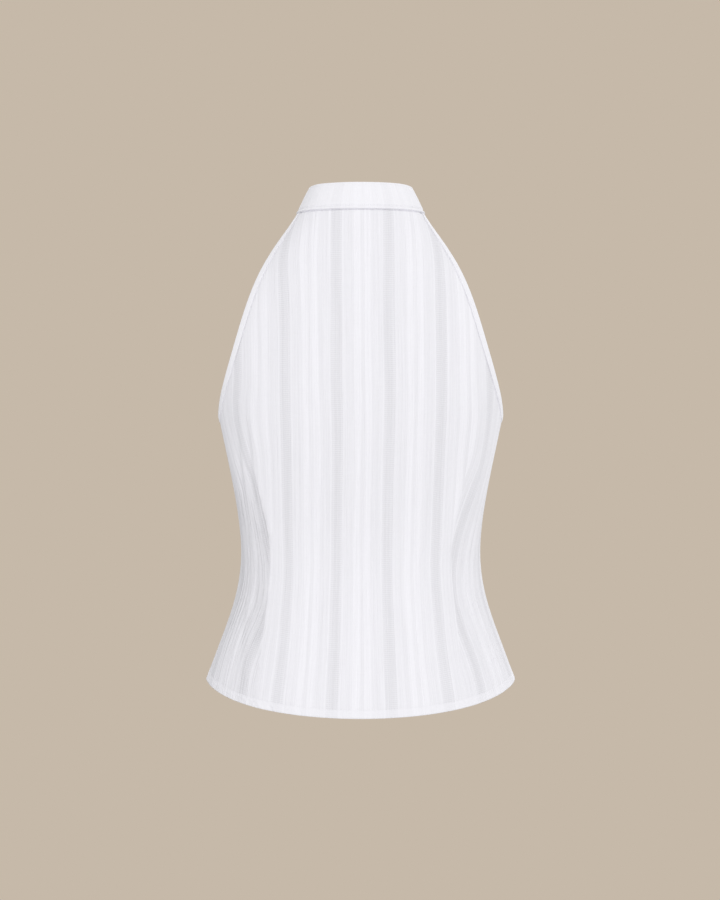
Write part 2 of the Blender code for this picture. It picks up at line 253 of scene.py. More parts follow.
# Puckers that the sewing pulls, in millimetres. In a valley the depth is a share of the valley's,
# and where there is no reach they go on to all sides
PUCKERS = {
    # how far apart, seed, depth, and how far beside their line they reach
    "dart valley": (3.1, 2, 0.35, None),
    "dart valley, slower": (8.0, 3, 0.25, None),
    "dart": (4.6, 5, 0.16, 3.5),
    "hem": (3.4, 1, 0.22, 7.0),
    "hem edge": (9.5, 4, 0.30, 16.0),
    "hem, slanting": (1.9, 3, 0.24, 4.0),
    "collar seam": (3.0, 6, 0.20, 9.0),
    "side seam valley": (3.3, 7, 0.3, None),
    "side seam": (4.2, 8, 0.15, 4.0),
    "beside binding": (1.6, 4, 0.16, 3.5),
    "binding": (2.2, 2, 0.17, None),
    "binding right": (7.6, 5, 0.12, None),
    "binding left": (7.6, 3, 0.12, None),
    "collar lower stitches": (1.9, 3, 0.09, 2.6),
    "collar top": (1.9, 3, 0.09, 3.2),
    "collar": (14.0, 5, 0.16, None),
    "collar, slanting": (6.0, 2, 0.10, None),
}

# A button's section, in millimetres
BUTTON_PROFILE = (
    # in from the rim, height over its back
    (BUTTON_ACROSS / 2, 0.0),
    (1.3, 0.0),
    (0.5, 0.25),
    (0.0, 0.9),
    (0.0, 1.6),
    (0.35, 2.25),
    (0.9, BUTTON_THICK),
    (1.4, 2.35),
    (1.9, 1.9),
    (2.5, 1.75),
    (BUTTON_ACROSS / 2, 1.7),
)

# Buttonholes, in millimetres. The lift is how much higher than its button one lies, and the
# stitches have a pitch, a length, a width and a height
BUTTONHOLE_HALF_LENGTH = 6.8
BUTTONHOLE_HALF_WIDTH = 1.0
BUTTONHOLE_LIFT = -2.5
COLLAR_BUTTONHOLE_ASIDE = 3.5
BUTTONHOLE_STITCHES = (0.42, 1.7, 0.40, 0.40)

# Stitches, in millimetres. Their sizes vary by the share of unevenness
STITCH_LENGTH = 2.3
STITCH_GAP = 0.7
STITCH_WIDTH = 0.42
STITCH_HEIGHT = 0.34
STITCH_LIFT = 0.05
STITCH_UNEVENNESS = 0.08
STITCH_SIZES = ("Pitch", "Stitch Length", "Stitch Width", "Stitch Height")

# Where rows of stitches end, as shares of the fronts' overlap past or short of centre front
HEM_ROW_RIGHT = 0.95
HEM_ROW_LEFT = 1.05
COLLAR_ROW_RIGHT = 0.86
COLLAR_ROW_LEFT = 1.2

# Soft creases of the back. Across is the distance from centre back, lean how far the foot of the
# crease lies further out than its head, and a minus depth is a trough
BACK_CREASES = (
    # across, lean, head, foot, width, depth
    (-150.0, 12.0, -215.0, -330.0, 5.5, -1.3),
    (-141.0, 14.0, -220.0, -345.0, 4.0, 1.1),
    (-132.0, 12.0, -205.0, -320.0, 4.5, -1.2),
    (-124.0, 8.0, -190.0, -300.0, 4.0, 0.8),
    (-126.0, -6.0, -330.0, -420.0, 5.0, 0.6),
    (-116.0, -8.0, -345.0, -455.0, 4.5, -0.7),
    (-134.0, -14.0, -410.0, -508.0, 6.0, -0.9),
    (-122.0, -12.0, -430.0, -512.0, 4.5, 0.8),
    (-112.0, -6.0, -420.0, -500.0, 5.0, -0.5),
    (-62.0, 8.0, -300.0, -410.0, 11.0, -0.7),
    (-30.0, -4.0, -360.0, -470.0, 13.0, 0.5),
    (24.0, 7.0, -345.0, -450.0, 12.0, -0.5),
    (68.0, -6.0, -310.0, -420.0, 10.0, 0.7),
    (112.0, 6.0, -350.0, -450.0, 5.0, -0.6),
    (125.0, 9.0, -360.0, -470.0, 5.5, 0.7),
    (137.0, 12.0, -430.0, -512.0, 6.0, -0.8),
    (124.0, 8.0, -440.0, -506.0, 4.5, 0.6),
    (132.0, -17.0, -230.0, -325.0, 5.5, -0.7),
    (146.0, -13.0, -224.0, -340.0, 6.5, 0.8),
    (40.0, -10.0, -40.0, -150.0, 16.0, -0.5),
    (-46.0, 8.0, -60.0, -180.0, 15.0, 0.5),
)

# The share of its length over which a crease fades in and out, and of its width by which it sways
CREASE_FADE = 0.45
CREASE_SWAY = 0.35

# How far round the form the right front's puckers and creases are shifted one way, and the left
# front's the other way, so that the two fronts differ
FRONT_PUCKER_SHIFT = 50.0
FRONT_CREASE_SHIFT = 4.0

# Soft creases of each front, from the centre front out to its side seam
FRONT_CREASES = (
    # across, lean, head, foot, width, depth
    (36.0, 22.0, -20.0, -150.0, 9.0, -0.9),
    (52.0, 26.0, -40.0, -190.0, 10.0, 0.8),
    (60.0, 10.0, -265.0, -370.0, 11.0, -0.8),
    (38.0, 6.0, -330.0, -430.0, 10.0, 0.6),
    (120.0, -14.0, -235.0, -330.0, 6.0, -1.0),
    (134.0, -18.0, -230.0, -345.0, 6.5, 0.9),
    (108.0, 8.0, -355.0, -460.0, 5.5, -0.7),
    (120.0, 10.0, -370.0, -480.0, 6.0, 0.7),
    (136.0, 12.0, -420.0, -510.0, 6.5, -0.8),
    (56.0, 14.0, -440.0, -510.0, 9.0, 0.7),
    (76.0, 16.0, -430.0, -508.0, 8.0, -0.8),
)

# How crumpled the cloth is in its middle, and beyond the long darts on the wearer's left and right
# The same amounts set a painted shade, darkening the cloth where it is more crumpled than in its
# middle, most on the left
CRUMPLE_AND_SHADE_MIDDLE = 0.4
CRUMPLE_AND_SHADE_LEFT = 1.5
CRUMPLE_AND_SHADE_RIGHT = 0.8
CRUMPLE_AND_SHADE_FRONT = 0.75
CRUMPLE_AND_SHADE_HEAD = -255.0
CRUMPLE_AND_SHADE_FOOT = -415.0
CRUMPLE_AND_SHADE_RUN = 70.0
CRUMPLE_AND_SHADE_FADE = 0.45
CRUMPLE_AND_SHADE_EDGE = 7.0
# How much darker the painted shade makes the cloth for each unit of crumple past the middle
PAINTED_CRUMPLE_SHADE = 0.05

# The woven stripes, from the middle of one repeat to the middle of the next ladder stripe
# The open ladder stripes are greyer partly from their weave and partly by painted shade, standing for
# the garment's shaded inside seen through them
STRIPE_HALF_REPEAT = 28.3
STRIPE_SOFTNESS = 0.4
STRIPE_OFFSET = 2.1
STRIPES = (
    # outer edge in mm, brightness, openness
    (2.2, 0.958, 0.0),
    (9.3, 1.0, 0.0),
    (20.3, 0.956, 0.0),
    (22.3, 0.980, 0.0),
    (25.2, 0.908, 1.0),
    (STRIPE_HALF_REPEAT, 0.884, 1.0),
)

# Fine texture of the cloth. A rate is how fast a noise changes across and along the cloth, for a
# millimetre, and a tone is how much of the brightness it moves. Reliefs are in millimetres
WANDER_RATES = (0.05, 0.012)
STREAK_RATES = (0.45, 0.006)
CRINKLE_RATES = (0.30, 0.012)
PATCH_RATES = (0.12, 0.045)
WEFT_RATES = (0.09, 0.50)
RIB_SPACING = 1.9
RUNG_SPACING = 2.1
THREAD_SPACING = 0.45
WANDER = 0.8
RIB_TONE = 0.018
RUNG_TONE = 0.055
STREAK_TONE = 0.15
PATCH_TONE = 0.03
WEFT_TONE = 0.05
WEFT_LEAST = 0.3
RIB_RELIEF = 0.08
RUNG_RELIEF = 0.08
LADDER_DEPTH = 0.06
CRINKLE_RELIEF = 2.0
STREAK_RELIEF = 0.6
WEAVE_RELIEF = 0.02
# Where the cloth is doubled, its stripes and their painted shade fade, as no inside shows through
DOUBLED_FADE = 0.6

# Colours of the finishes, and how the cotton shines
CLOTH_WHITE = (0.857, 0.849, 0.889, 1.0)
COLLAR_WHITE = (0.872, 0.864, 0.902, 1.0)
BINDING_WHITE = (0.893, 0.886, 0.925, 1.0)
THREAD_WHITE = (0.90, 0.89, 0.92, 1.0)
SHELL_LIGHT = (0.87, 0.86, 0.84, 1.0)
SHELL_GREY = (0.70, 0.70, 0.72, 1.0)
CLOTH_SHEEN = 0.12
CLOTH_SPECULAR = 0.25
BACKDROP = (0.5647, 0.4852, 0.3968, 1.0)

# Camera, as the photograph sees the top: distance and target in metres
CAMERA_DISTANCE = 2.5
CAMERA_ELEVATION = 7.0
CAMERA_TARGET = -0.2581
CAMERA_ASIDE = -0.00075
CAMERA_LENS = 90.9

# Light: the room's brightness all round, how much more of it comes from a direction (+X, +Y, +Z),
# and how much more from the quarters where X and Y, or Y and Z, have the same sign
SKY_STRENGTH = 0.834
SKY_LEAN = (0.183, -0.340, 0.176)
SKY_CROSS_XY = 0.395
SKY_CROSS_YZ = 0.126
FRONT_LIGHT_STRENGTH = 0.85
FRONT_LIGHT_SPREAD = 60.0
FRONT_LIGHT_PLACE = (0.0, 2.0, 0.7)


def read_table(table, at):
    """Each column of a table, at the given levels, on a natural cubic spline through its rows."""
    rows = np.array(sorted(table), float)
    knots = rows[:, 0]
    values = rows[:, 1:]
    gap = np.diff(knots)
    slope = np.diff(values, axis=0) / gap[:, None]
    matrix = np.eye(len(knots))
    right = np.zeros_like(values)
    for i in range(1, len(knots) - 1):
        matrix[i, i - 1 : i + 2] = gap[i - 1], 2 * (gap[i - 1] + gap[i]), gap[i]
        right[i] = 6 * (slope[i] - slope[i - 1])
    bend = np.linalg.solve(matrix, right)
    at = np.clip(np.asarray(at, float), knots[0], knots[-1])
    k = np.clip(np.searchsorted(knots, at, side="right") - 1, 0, len(knots) - 2)
    step = gap[k][..., None]
    after = (knots[k + 1] - at)[..., None]
    before = (at - knots[k])[..., None]
    curve = (bend[k] * after**3 + bend[k + 1] * before**3) / (6 * step)
    curve = curve + (values[k] / step - bend[k] * step / 6) * after
    curve = curve + (values[k + 1] / step - bend[k + 1] * step / 6) * before
    return np.moveaxis(curve, -1, 0)


def smoothstep(value):
    """0 under 0 and 1 over 1, with a soft rise between them."""
    value = np.clip(value, 0.0, 1.0)
    return value * value * (3.0 - 2.0 * value)


def bell(distance, width):
    """1 at no distance, falling softly to nothing over about twice the width."""
    return np.exp(-((distance / width) ** 2))


def form_point(angle, level):
    """A point of the form in millimetres. The angle is 0 at centre back and pi at centre front."""
    half, back, front, side, tilt, bow = read_table(FORM, level)
    across = np.sin(angle)
    along = np.cos(angle)
    depth = np.where(along > 0, side - back, front - side)
    square = np.where(along > 0, SQUARE_BACK, SQUARE_FRONT)
    x = half * (across + FLAT_MIDDLE * across * along * along)
    y = side - depth * (along + square * along * across * across)
    corner = HEM_CORNER * np.abs(along) * (1.0 - np.abs(along)) ** 3
    z = level + tilt * along + bow * (along * along - corner)
    return np.stack([x, y, z], -1)


def form_directions(angle, level):
    """The change of a point for one radian and for one millimetre of level, and the outward normal."""
    turn = 0.002
    rise = 0.2
    around = (form_point(angle + turn, level) - form_point(angle - turn, level)) / (2 * turn)
    low = np.clip(level - rise, HEM, COLLAR_TOP)
    high = np.clip(level + rise, HEM, COLLAR_TOP)
    up = (form_point(angle, high) - form_point(angle, low)) / (high - low)[..., None]
    normal = np.cross(around, up)
    normal /= np.linalg.norm(normal, axis=-1, keepdims=True)
    return around, up, normal


def length_round(angle, level):
    """The length of the form's section for one radian."""
    return np.linalg.norm(form_directions(angle, level)[0], axis=-1)


def angle_at_width(half_width, level):
    """The angle, under a right angle, where the form's x is this half width."""
    share = np.clip(half_width / read_table(FORM, level)[0], -1.0, 1.0)
    across = share
    for _ in range(40):
        across = share / (1 + FLAT_MIDDLE * (1 - across * across))
    return np.arcsin(np.clip(across, -1.0, 1.0))


class Measures:
    """Lengths over the form, read from a grid of small steps: round it, and up it from the hem."""

    def __init__(self):
        self.angles = np.linspace(0.0, HALF_TURN, 241)
        self.levels = np.linspace(HEM, COLLAR_TOP, 361)
        level, angle = np.meshgrid(self.levels, self.angles, indexing="ij")
        points = form_point(angle, level)
        steps = np.linalg.norm(np.diff(points, axis=1), axis=-1)
        self.round = np.zeros_like(level)
        self.round[:, 1:] = np.cumsum(steps, axis=1)
        rises = np.linalg.norm(np.diff(points, axis=0), axis=-1)
        self.up = np.zeros_like(level)
        self.up[1:] = np.cumsum(rises, axis=0)

    def read(self, grid, angle, level):
        row = (np.clip(level, HEM, COLLAR_TOP) - HEM) / (self.levels[1] - self.levels[0])
        column = np.clip(angle, 0.0, HALF_TURN) / self.angles[1]
        i = np.clip(row.astype(int), 0, len(self.levels) - 2)
        j = np.clip(column.astype(int), 0, len(self.angles) - 2)
        a = row - i
        b = column - j
        low = grid[i, j] * (1 - b) + grid[i, j + 1] * b
        high = grid[i + 1, j] * (1 - b) + grid[i + 1, j + 1] * b
        return low * (1 - a) + high * a

    def from_back(self, angle, level):
        """Distance round the form from centre back, minus on the wearer's left."""
        return np.sign(angle) * self.read(self.round, np.abs(angle), level)

    def from_front(self, angle, level):
        """Distance round the form from centre front, minus past it."""
        whole = self.read(self.round, np.full_like(angle, HALF_TURN), level)
        inside = np.minimum(angle, 2 * HALF_TURN - angle)
        return np.sign(HALF_TURN - angle) * (whole - self.read(self.round, inside, level))

    def above_hem(self, angle, level):
        folded = np.minimum(np.abs(angle), 2 * HALF_TURN - np.abs(angle))
        return self.read(self.up, folded, level)


measures = Measures()


def edge_angle(level, front):
    """The angle of a panel's outer edge: its armhole edge, and its side seam below the underarm."""
    half_width = float(read_table(FORM, UNDERARM)[0])
    rows = ARMHOLE + ((UNDERARM, half_width, half_width),)
    armhole = angle_at_width(read_table(rows, level)[1 if front else 0], level)
    angle = np.where(level <= UNDERARM, QUARTER, np.minimum(armhole, QUARTER))
    return HALF_TURN - angle if front else angle


def row_levels():
    """The level of each row of a panel, at its outer edge and at its centre line, top to hem."""
    step = np.linspace(0.0, 1.0, ARMHOLE_ROWS + 1)
    turn = QUARTER * (step + EDGE_ROW_SLOWING * step * (step - 1.0))
    neck = np.linspace(TUCK, NECK_FOOT, NECK_ROWS + 1)[:-1]
    edge = np.append(neck, NECK_FOOT + (UNDERARM - NECK_FOOT) * np.sin(turn))
    centre = np.append(neck, np.linspace(NECK_FOOT, CENTRE_AT_UNDERARM, ARMHOLE_ROWS + 1))
    hem_top = HEM + HEM_DEPTH + HEM_ROWS_PAST
    hem = np.linspace(hem_top, HEM, HEM_ROWS + 1)[1:]
    edge_below = np.append(np.linspace(UNDERARM, hem_top, BODY_ROWS)[1:], hem)
    centre_below = np.append(np.linspace(CENTRE_AT_UNDERARM, hem_top, BODY_ROWS)[1:], hem)
    return np.append(edge, edge_below), np.append(centre, centre_below)


def dart_angle(level, front):
    """The angle of a dart from the panel's centre line."""
    inside = np.clip(level, HEM, DART_TIP)
    return angle_at_width(read_table(DART, inside)[1 if front else 0], inside)


def dart_place(level, front):
    """The distance of a dart round the form from the panel's centre line."""
    inside = np.clip(level, HEM, DART_TIP)
    angle = dart_angle(inside, front)
    if front:
        return measures.from_front(HALF_TURN - angle, inside)
    return measures.from_back(angle, inside)


def dart_share(level, reach, front):
    """Where a dart lies between a panel's centre and its outer edge, as a share of the angle."""
    return dart_angle(level, front) / np.where(level > DART_TIP, QUARTER, reach)


def panel_angles(columns, front):
    """Angles and levels of half a panel, rows first, with a column along its dart."""
    edge_level, centre_level = row_levels()
    edge = edge_angle(edge_level, front)
    reach = HALF_TURN - edge if front else edge
    dart = dart_share(edge_level, reach, front)[:, None]
    inner_step = np.linspace(0.0, 1.0, columns // 2 + 1)
    outer_step = np.linspace(0.0, 1.0, columns - columns // 2 + 1)
    wave = np.sin(2 * HALF_TURN * outer_step) / (2 * HALF_TURN)
    outer_step = (outer_step - CROWDING * wave)[1:]
    if front:
        inner_step = inner_step - CROWDING * np.sin(2 * HALF_TURN * inner_step) / (2 * HALF_TURN)
    else:
        inner_step = inner_step + CROWDING * inner_step * (1.0 - inner_step)
    spread = np.concatenate([dart * inner_step, dart + outer_step * (1 - dart)], axis=1)
    level = centre_level[:, None] + (edge_level - centre_level)[:, None] * spread**2
    angle = spread * reach[:, None]
    return (HALF_TURN - angle if front else angle), level


def uneven(position, seed):
    """A slow, uneven wave between about -1 and 1: three waves of unlike rates."""
    total = np.zeros_like(position)
    for k in range(3):
        rate = 1.0 + 0.618 * k + 0.13 * seed
        phase = 1.7 * seed * (k + 1)
        total = total + np.sin(position * rate + phase) / (1.0 + 0.5 * k)
    return total / 2.2


def puckers(kind, along, away=0.0):
    """Puckers of one kind along a line, dying away on both sides of it."""
    apart, seed, depth, reach = PUCKERS[kind]
    height = depth * uneven(along / apart, seed)
    return height * bell(away, reach) if reach else height


def crease_relief(creases, across, level):
    """Soft troughs and ridges, each fading in from its head and out to its foot."""
    total = np.zeros_like(level)
    for place, lean, head, foot, width, depth in creases:
        run = (head - level) / (head - foot)
        middle = place + lean * run + CREASE_SWAY * width * np.sin(4.0 * run + place)
        fade = smoothstep(run / CREASE_FADE) * smoothstep((1.0 - run) / CREASE_FADE)
        total = total + depth * fade * bell(across - middle, width)
    return total


def dart_relief(across, level, front):
    """A sewn dart: a narrow valley, and the cloth folded behind it lifting the inner side. The
    back also bends outwards along it."""
    start = smoothstep((DART_TIP - level) / DART_FADE)
    beyond = np.abs(across) - dart_place(level, front)
    depth = 1.0 + puckers("dart valley", level) + puckers("dart valley, slower", level)
    valley = -DART_VALLEY * depth * bell(beyond, DART_VALLEY_WIDTH)
    ridge = DART_RIDGE * bell(beyond + 1.1 * DART_RIDGE_WIDTH, DART_RIDGE_WIDTH)
    crisp = DART_LEAST_CRISP + (1.0 - DART_LEAST_CRISP) * bell(level - WAIST, DART_CRISP_REACH)
    relief = start * (crisp * (valley + ridge) + puckers("dart", level, beyond))
    if front:
        return relief
    reach = np.where(beyond > 0.0, BEND_OUTSIDE, BEND_INSIDE)
    rounding = BEND_ROUNDING / crisp
    rounded = np.sqrt(beyond * beyond + rounding * rounding) - rounding
    bend = read_table(BEND, np.minimum(level, DART_TIP))[0]
    return relief + bend * np.exp(-rounded / reach)


def edge_relief(around, level, above):
    """What sewing does along the hem and under the collar: pulls, waves and the stitched lines.
    Above is the distance over the hem's edge."""
    left = smoothstep((-around - HEM_LEFT_STARTS) / HEM_LEFT_RUN)
    slanting = puckers("hem, slanting", around + above, above - HEM_SLANTING_UP)
    relief = puckers("hem", around, above - HEM_DEPTH) + puckers("hem edge", around, above)
    relief = relief + slanting * (1.0 + HEM_MORE_LEFT * left)
    relief = relief + puckers("collar seam", around, level)
    relief = relief - HEM_GROOVE * bell(above - (HEM_DEPTH - HEM_STITCHES_IN), HEM_GROOVE_WIDTH)
    return relief - NECK_GROOVE * bell(level - NECK_GROOVE_LEVEL, NECK_GROOVE_WIDTH)


def binding_relief(angle, level, front):
    """The cloth sinks along the inner edge of the binding, whose stitches pull small puckers."""
    edge = edge_angle(level, front)
    inwards = angle - edge if front else edge - np.abs(angle)
    around = length_round(angle, level)
    lean = 0.5 * (edge_angle(level + 1.0, front) - edge_angle(level - 1.0, front)) * around
    inside = inwards * around / np.sqrt(1.0 + lean * lean)
    past = inside - BINDING_WIDTH
    groove = BINDING_GROOVE * bell(past - BINDING_GROOVE_PAST, BINDING_GROOVE_WIDTH)
    relief = puckers("beside binding", level + inside, past - BINDING_PUCKER_PAST) - groove
    return relief * smoothstep((level - SEAM_TOP) / BINDING_RELIEF_RUN)


def seam_relief(angle, level):
    """The valley of the side seam, with small puckers along it."""
    around = length_round(angle, level)
    away = np.abs(np.abs(angle) - QUARTER) * around
    depth = SEAM_VALLEY * (1.0 + puckers("side seam valley", level))
    relief = puckers("side seam", level, away) - depth * bell(away, SEAM_VALLEY_WIDTH)
    return relief * (level < SEAM_TOP)


def back_surface(angle, level):
    """Points of the back's outer face, and the normals of the form there."""
    normal = form_directions(angle, level)[2]
    across = measures.from_back(angle, level)
    above = measures.above_hem(angle, level)
    out = crease_relief(BACK_CREASES, across, level)
    out = out + dart_relief(across, level, front=False)
    out = out + edge_relief(across, level, above)
    out = out + seam_relief(angle, level) + binding_relief(angle, level, front=False)
    return form_point(angle, level) + normal * out[..., None], normal


def front_surface(angle, level, side):
    """Points of a front's outer face, and the normals of the form there. Side is 1 for the
    wearer's right, which lies on top, and -1 for the left."""
    normal = form_directions(angle, level)[2]
    across = measures.from_front(angle, level)
    above = measures.above_hem(angle, level)
    points = form_point(angle, level)
    out = crease_relief(FRONT_CREASES, across + FRONT_CREASE_SHIFT * side, level)
    out = out + dart_relief(across, level, front=True)
    out = out + edge_relief(across + FRONT_PUCKER_SHIFT * side, level, above)
    out = out + seam_relief(angle, level) + binding_relief(angle, level, front=True)
    if side < 0:
        past = FRONT_OVERLAP + FRONT_STEP_RUN - points[..., 0]
        out = out - FRONT_STEP_IN * smoothstep(past / FRONT_STEP_RUN)
    else:
        out = out + PLACKET_LIFT * smoothstep((FRONT_OVERLAP + PLACKET_EDGE - across) / PLACKET_EDGE)
        for row in PLACKET_STITCHES:
            out = out - PLACKET_GROOVE * bell(across - row, PLACKET_GROOVE_WIDTH)
    points = points + normal * out[..., None]
    mirror = np.array([side, 1.0, 1.0])
    return points * mirror, normal * mirror


def stripe_slip(across, level):
    """How far the back's stripes have slipped round the form, smooth between the places across it."""
    slips = read_table(STRIPE_SLIP, level)
    places = np.array(SLIP_PLACES)
    nearer = np.clip(np.searchsorted(places, across) - 1, 0, len(places) - 2)
    start = np.take_along_axis(slips, nearer[None], axis=0)[0]
    end = np.take_along_axis(slips, nearer[None] + 1, axis=0)[0]
    share = smoothstep((across - places[nearer]) / (places[nearer + 1] - places[nearer]))
    return start + (end - start) * share


def cloth_across(across, level, front):
    """The flat cloth's coordinate for a distance round the form, without the dart's intake."""
    slip = 0.0 if front else stripe_slip(across, level)
    return (across - slip) * read_table(EASE, level)[0]


def add_crumple_and_shade(mesh, across, level, front):
    """How crumpled the cloth is at each vertex, which also sets how much painted shade darkens it
    there: most beyond the long darts, more on the left, and on a front more towards its side seam."""
    place = dart_place(level, front)
    most = np.where(across < 0.0, CRUMPLE_AND_SHADE_LEFT, CRUMPLE_AND_SHADE_RIGHT)
    if front:
        inside = np.clip(level, HEM, DART_TIP)
        seam = measures.from_front(np.full_like(level, QUARTER), inside)
        towards_seam = smoothstep((np.abs(across) - place) / (seam - place))
        most = CRUMPLE_AND_SHADE_FRONT + (most - CRUMPLE_AND_SHADE_FRONT) * towards_seam
    past = smoothstep((np.abs(across) - place + CRUMPLE_AND_SHADE_EDGE) / (1.5 * CRUMPLE_AND_SHADE_EDGE))
    past = past * smoothstep((CRUMPLE_AND_SHADE_HEAD - level) / CRUMPLE_AND_SHADE_RUN)
    past = past * (1.0 - CRUMPLE_AND_SHADE_FADE * smoothstep((CRUMPLE_AND_SHADE_FOOT - level) / CRUMPLE_AND_SHADE_RUN))
    crumple_and_shade = CRUMPLE_AND_SHADE_MIDDLE + (most - CRUMPLE_AND_SHADE_MIDDLE) * past
    attribute = mesh.attributes.new("crumple_and_shade", "FLOAT", "POINT")
    attribute.data.foreach_set("value", crumple_and_shade.reshape(-1).astype(np.float32))


def new_object(name, data):
    """An object in the scene, at the origin."""
    obj = bpy.data.objects.new(name, data)
    bpy.context.scene.collection.objects.link(obj)
    return obj


def add_object(name, mesh, material):
    """A smooth mesh in the scene, in one material."""
    mesh.materials.append(material)
    mesh.shade_smooth()
    return new_object(name, mesh)


def baked_mesh(obj):
    """The mesh that an object's modifiers make. The object itself is removed."""
    bpy.context.view_layer.update()
    evaluated = obj.evaluated_get(bpy.context.evaluated_depsgraph_get())
    mesh = bpy.data.meshes.new_from_object(evaluated)
    bpy.data.objects.remove(obj, do_unlink=True)
    return mesh


def finished_mesh(name, shape):
    """A mesh from a shape under construction, which is closed."""
    mesh = bpy.data.meshes.new(name)
    shape.to_mesh(mesh)
    shape.free()
    return mesh


def grid_mesh(name, points, cloth, intake, outer_columns):
    """A mesh through rows and columns of points, with the flat cloth's coordinates in millimetres
    as its UV map. Faces in the outer columns lie past a dart, whose intake is added there."""
    rows, columns = points.shape[:2]
    index = np.arange(rows * columns).reshape(rows, columns)
    corners = [index[:-1, :-1], index[1:, :-1], index[1:, 1:], index[:-1, 1:]]
    faces = np.stack(corners, -1).reshape(-1, 4)
    flat = points.reshape(-1, 3)
    a = flat[faces[:, 2]] - flat[faces[:, 0]]
    b = flat[faces[:, 3]] - flat[faces[:, 1]]
    middle = flat[faces].mean(axis=1)
    facing = (np.cross(a, b)[:, :2] * middle[:, :2]).sum()
    if facing < 0:
        faces = faces[:, ::-1]
    mesh = bpy.data.meshes.new(name)
    mesh.from_pydata((flat * MM).tolist(), [], faces.tolist())
    column = np.tile(np.arange(columns - 1), rows - 1)
    past = outer_columns[column]
    u = cloth[..., 0].reshape(-1)[faces] + (intake.reshape(-1)[faces] * past[:, None])
    v = cloth[..., 1].reshape(-1)[faces]
    layer = mesh.uv_layers.new(name="cloth")
    layer.data.foreach_set("uv", np.stack([u, v], -1).reshape(-1).astype(np.float32))
    return mesh


def add_wall(obj, doubled):
    """Thickness inwards, more at the vertices where the cloth is doubled."""
    group = obj.vertex_groups.new(name="doubled")
    group.add(np.flatnonzero(doubled).tolist(), 1.0, "REPLACE")
    wall = obj.modifiers.new("wall", "SOLIDIFY")
    wall.thickness = DOUBLED_SHELL * MM
    wall.offset = -1.0
    wall.vertex_group = group.name
    wall.thickness_vertex_group = SHELL / DOUBLED_SHELL


def add_panel(name, points, across, level, above, past_dart, doubled, material, front):
    """A panel of striped cloth through its points. Across is the distance round the form, minus on
    the wearer's left, and past_dart tells which columns of faces lie beyond a dart."""
    offset = 0.0 if front else STRIPE_OFFSET
    cloth = np.stack([cloth_across(across, level, front) - offset, above], -1)
    intake = read_table(EASE, level)[1] * np.sign(across) * (level < DART_TIP)
    mesh = grid_mesh(name, points, cloth, intake, past_dart)
    add_crumple_and_shade(mesh, across, level, front)
    obj = add_object(name, mesh, material)
    add_wall(obj, doubled)
    return obj


def make_back(material):
    """The back panel, whose left half has the right half's grid mirrored."""
    name = "back_cloth"
    angle, level = panel_angles(HALF_BACK_COLUMNS, front=False)
    angle = np.concatenate([-angle[:, :0:-1], angle], axis=1)
    level = np.concatenate([level[:, :0:-1], level], axis=1)
    points = back_surface(angle, level)[0]
    across = measures.from_back(angle, level)
    above = measures.above_hem(angle, level)
    columns_out = np.abs(np.arange(2 * HALF_BACK_COLUMNS) + 0.5 - HALF_BACK_COLUMNS)
    past_dart = columns_out > HALF_BACK_COLUMNS // 2
    doubled = above < HEM_DEPTH
    return add_panel(name, points, across, level, above, past_dart, doubled, material, False)


def make_front(name, side, material):
    """A front, with the flap that goes past centre front. Side is 1 for the wearer's right."""
    angle, level = panel_angles(FRONT_COLUMNS, front=True)
    half = read_table(FORM, level[:, :1])[0]
    flap = overlap_angle(half) * np.linspace(1.0, 0.0, FLAP_COLUMNS + 1)[:-1]
    angle = np.concatenate([HALF_TURN + flap, angle], axis=1)
    level = np.concatenate([np.repeat(level[:, :1], FLAP_COLUMNS, axis=1), level], axis=1)
    points = front_surface(angle, level, side)[0]
    across = measures.from_front(angle, level)
    above = measures.above_hem(angle, level)
    past_dart = np.arange(FRONT_COLUMNS + FLAP_COLUMNS) >= FRONT_COLUMNS // 2 + FLAP_COLUMNS
    doubled = (above < HEM_DEPTH) | (across < FRONT_OVERLAP)
    across = across * side
    return add_panel(name, points, across, level, above, past_dart, doubled, material, True)


def loft_mesh(name, sections, cloth):
    """A closed solid through sections with equal numbers of points, closed flat at both ends."""
    stations, count = sections.shape[:2]
    index = np.arange(stations * count).reshape(stations, count)
    following = np.roll(index, -1, axis=1)
    corners = [index[:-1], following[:-1], following[1:], index[1:]]
    faces = np.stack(corners, -1).reshape(-1, 4)
    flat = sections.reshape(-1, 3) * MM
    mesh = bpy.data.meshes.new(name)
    ends = [index[0][::-1].tolist(), index[-1].tolist()]
    mesh.from_pydata(flat.tolist(), [], faces.tolist() + ends)
    solid = bmesh.new()
    solid.from_mesh(mesh)
    layer = solid.loops.layers.uv.new("cloth")
    shown = cloth.reshape(-1, 2)
    for face in solid.faces:
        for loop in face.loops:
            loop[layer].uv = shown[loop.vert.index]
    bmesh.ops.recalc_face_normals(solid, faces=solid.faces)
    solid.to_mesh(mesh)
    solid.free()
    return mesh


def overlap_angle(half, across=FRONT_OVERLAP):
    """The angle from centre front to a distance across it, for a half width of the form."""
    return np.arcsin(across / (half * (1 + FLAT_MIDDLE)))


def collar_overlap():
    """The angle of the band's overlap past centre front, and the form's half width there."""
    half = float(read_table(FORM, 0.0)[0])
    return float(overlap_angle(half)), half


def collar_out(angle, out):
    """Distance out from the form for a place on the band, whose left end lies under its right."""
    overlap, half = collar_overlap()
    from_left_end = (angle + HALF_TURN + overlap) * half
    past = 2 * FRONT_OVERLAP + FRONT_STEP_RUN - from_left_end
    return out - (COLLAR_WALL + COLLAR_STEP_IN) * smoothstep(past / FRONT_STEP_RUN)


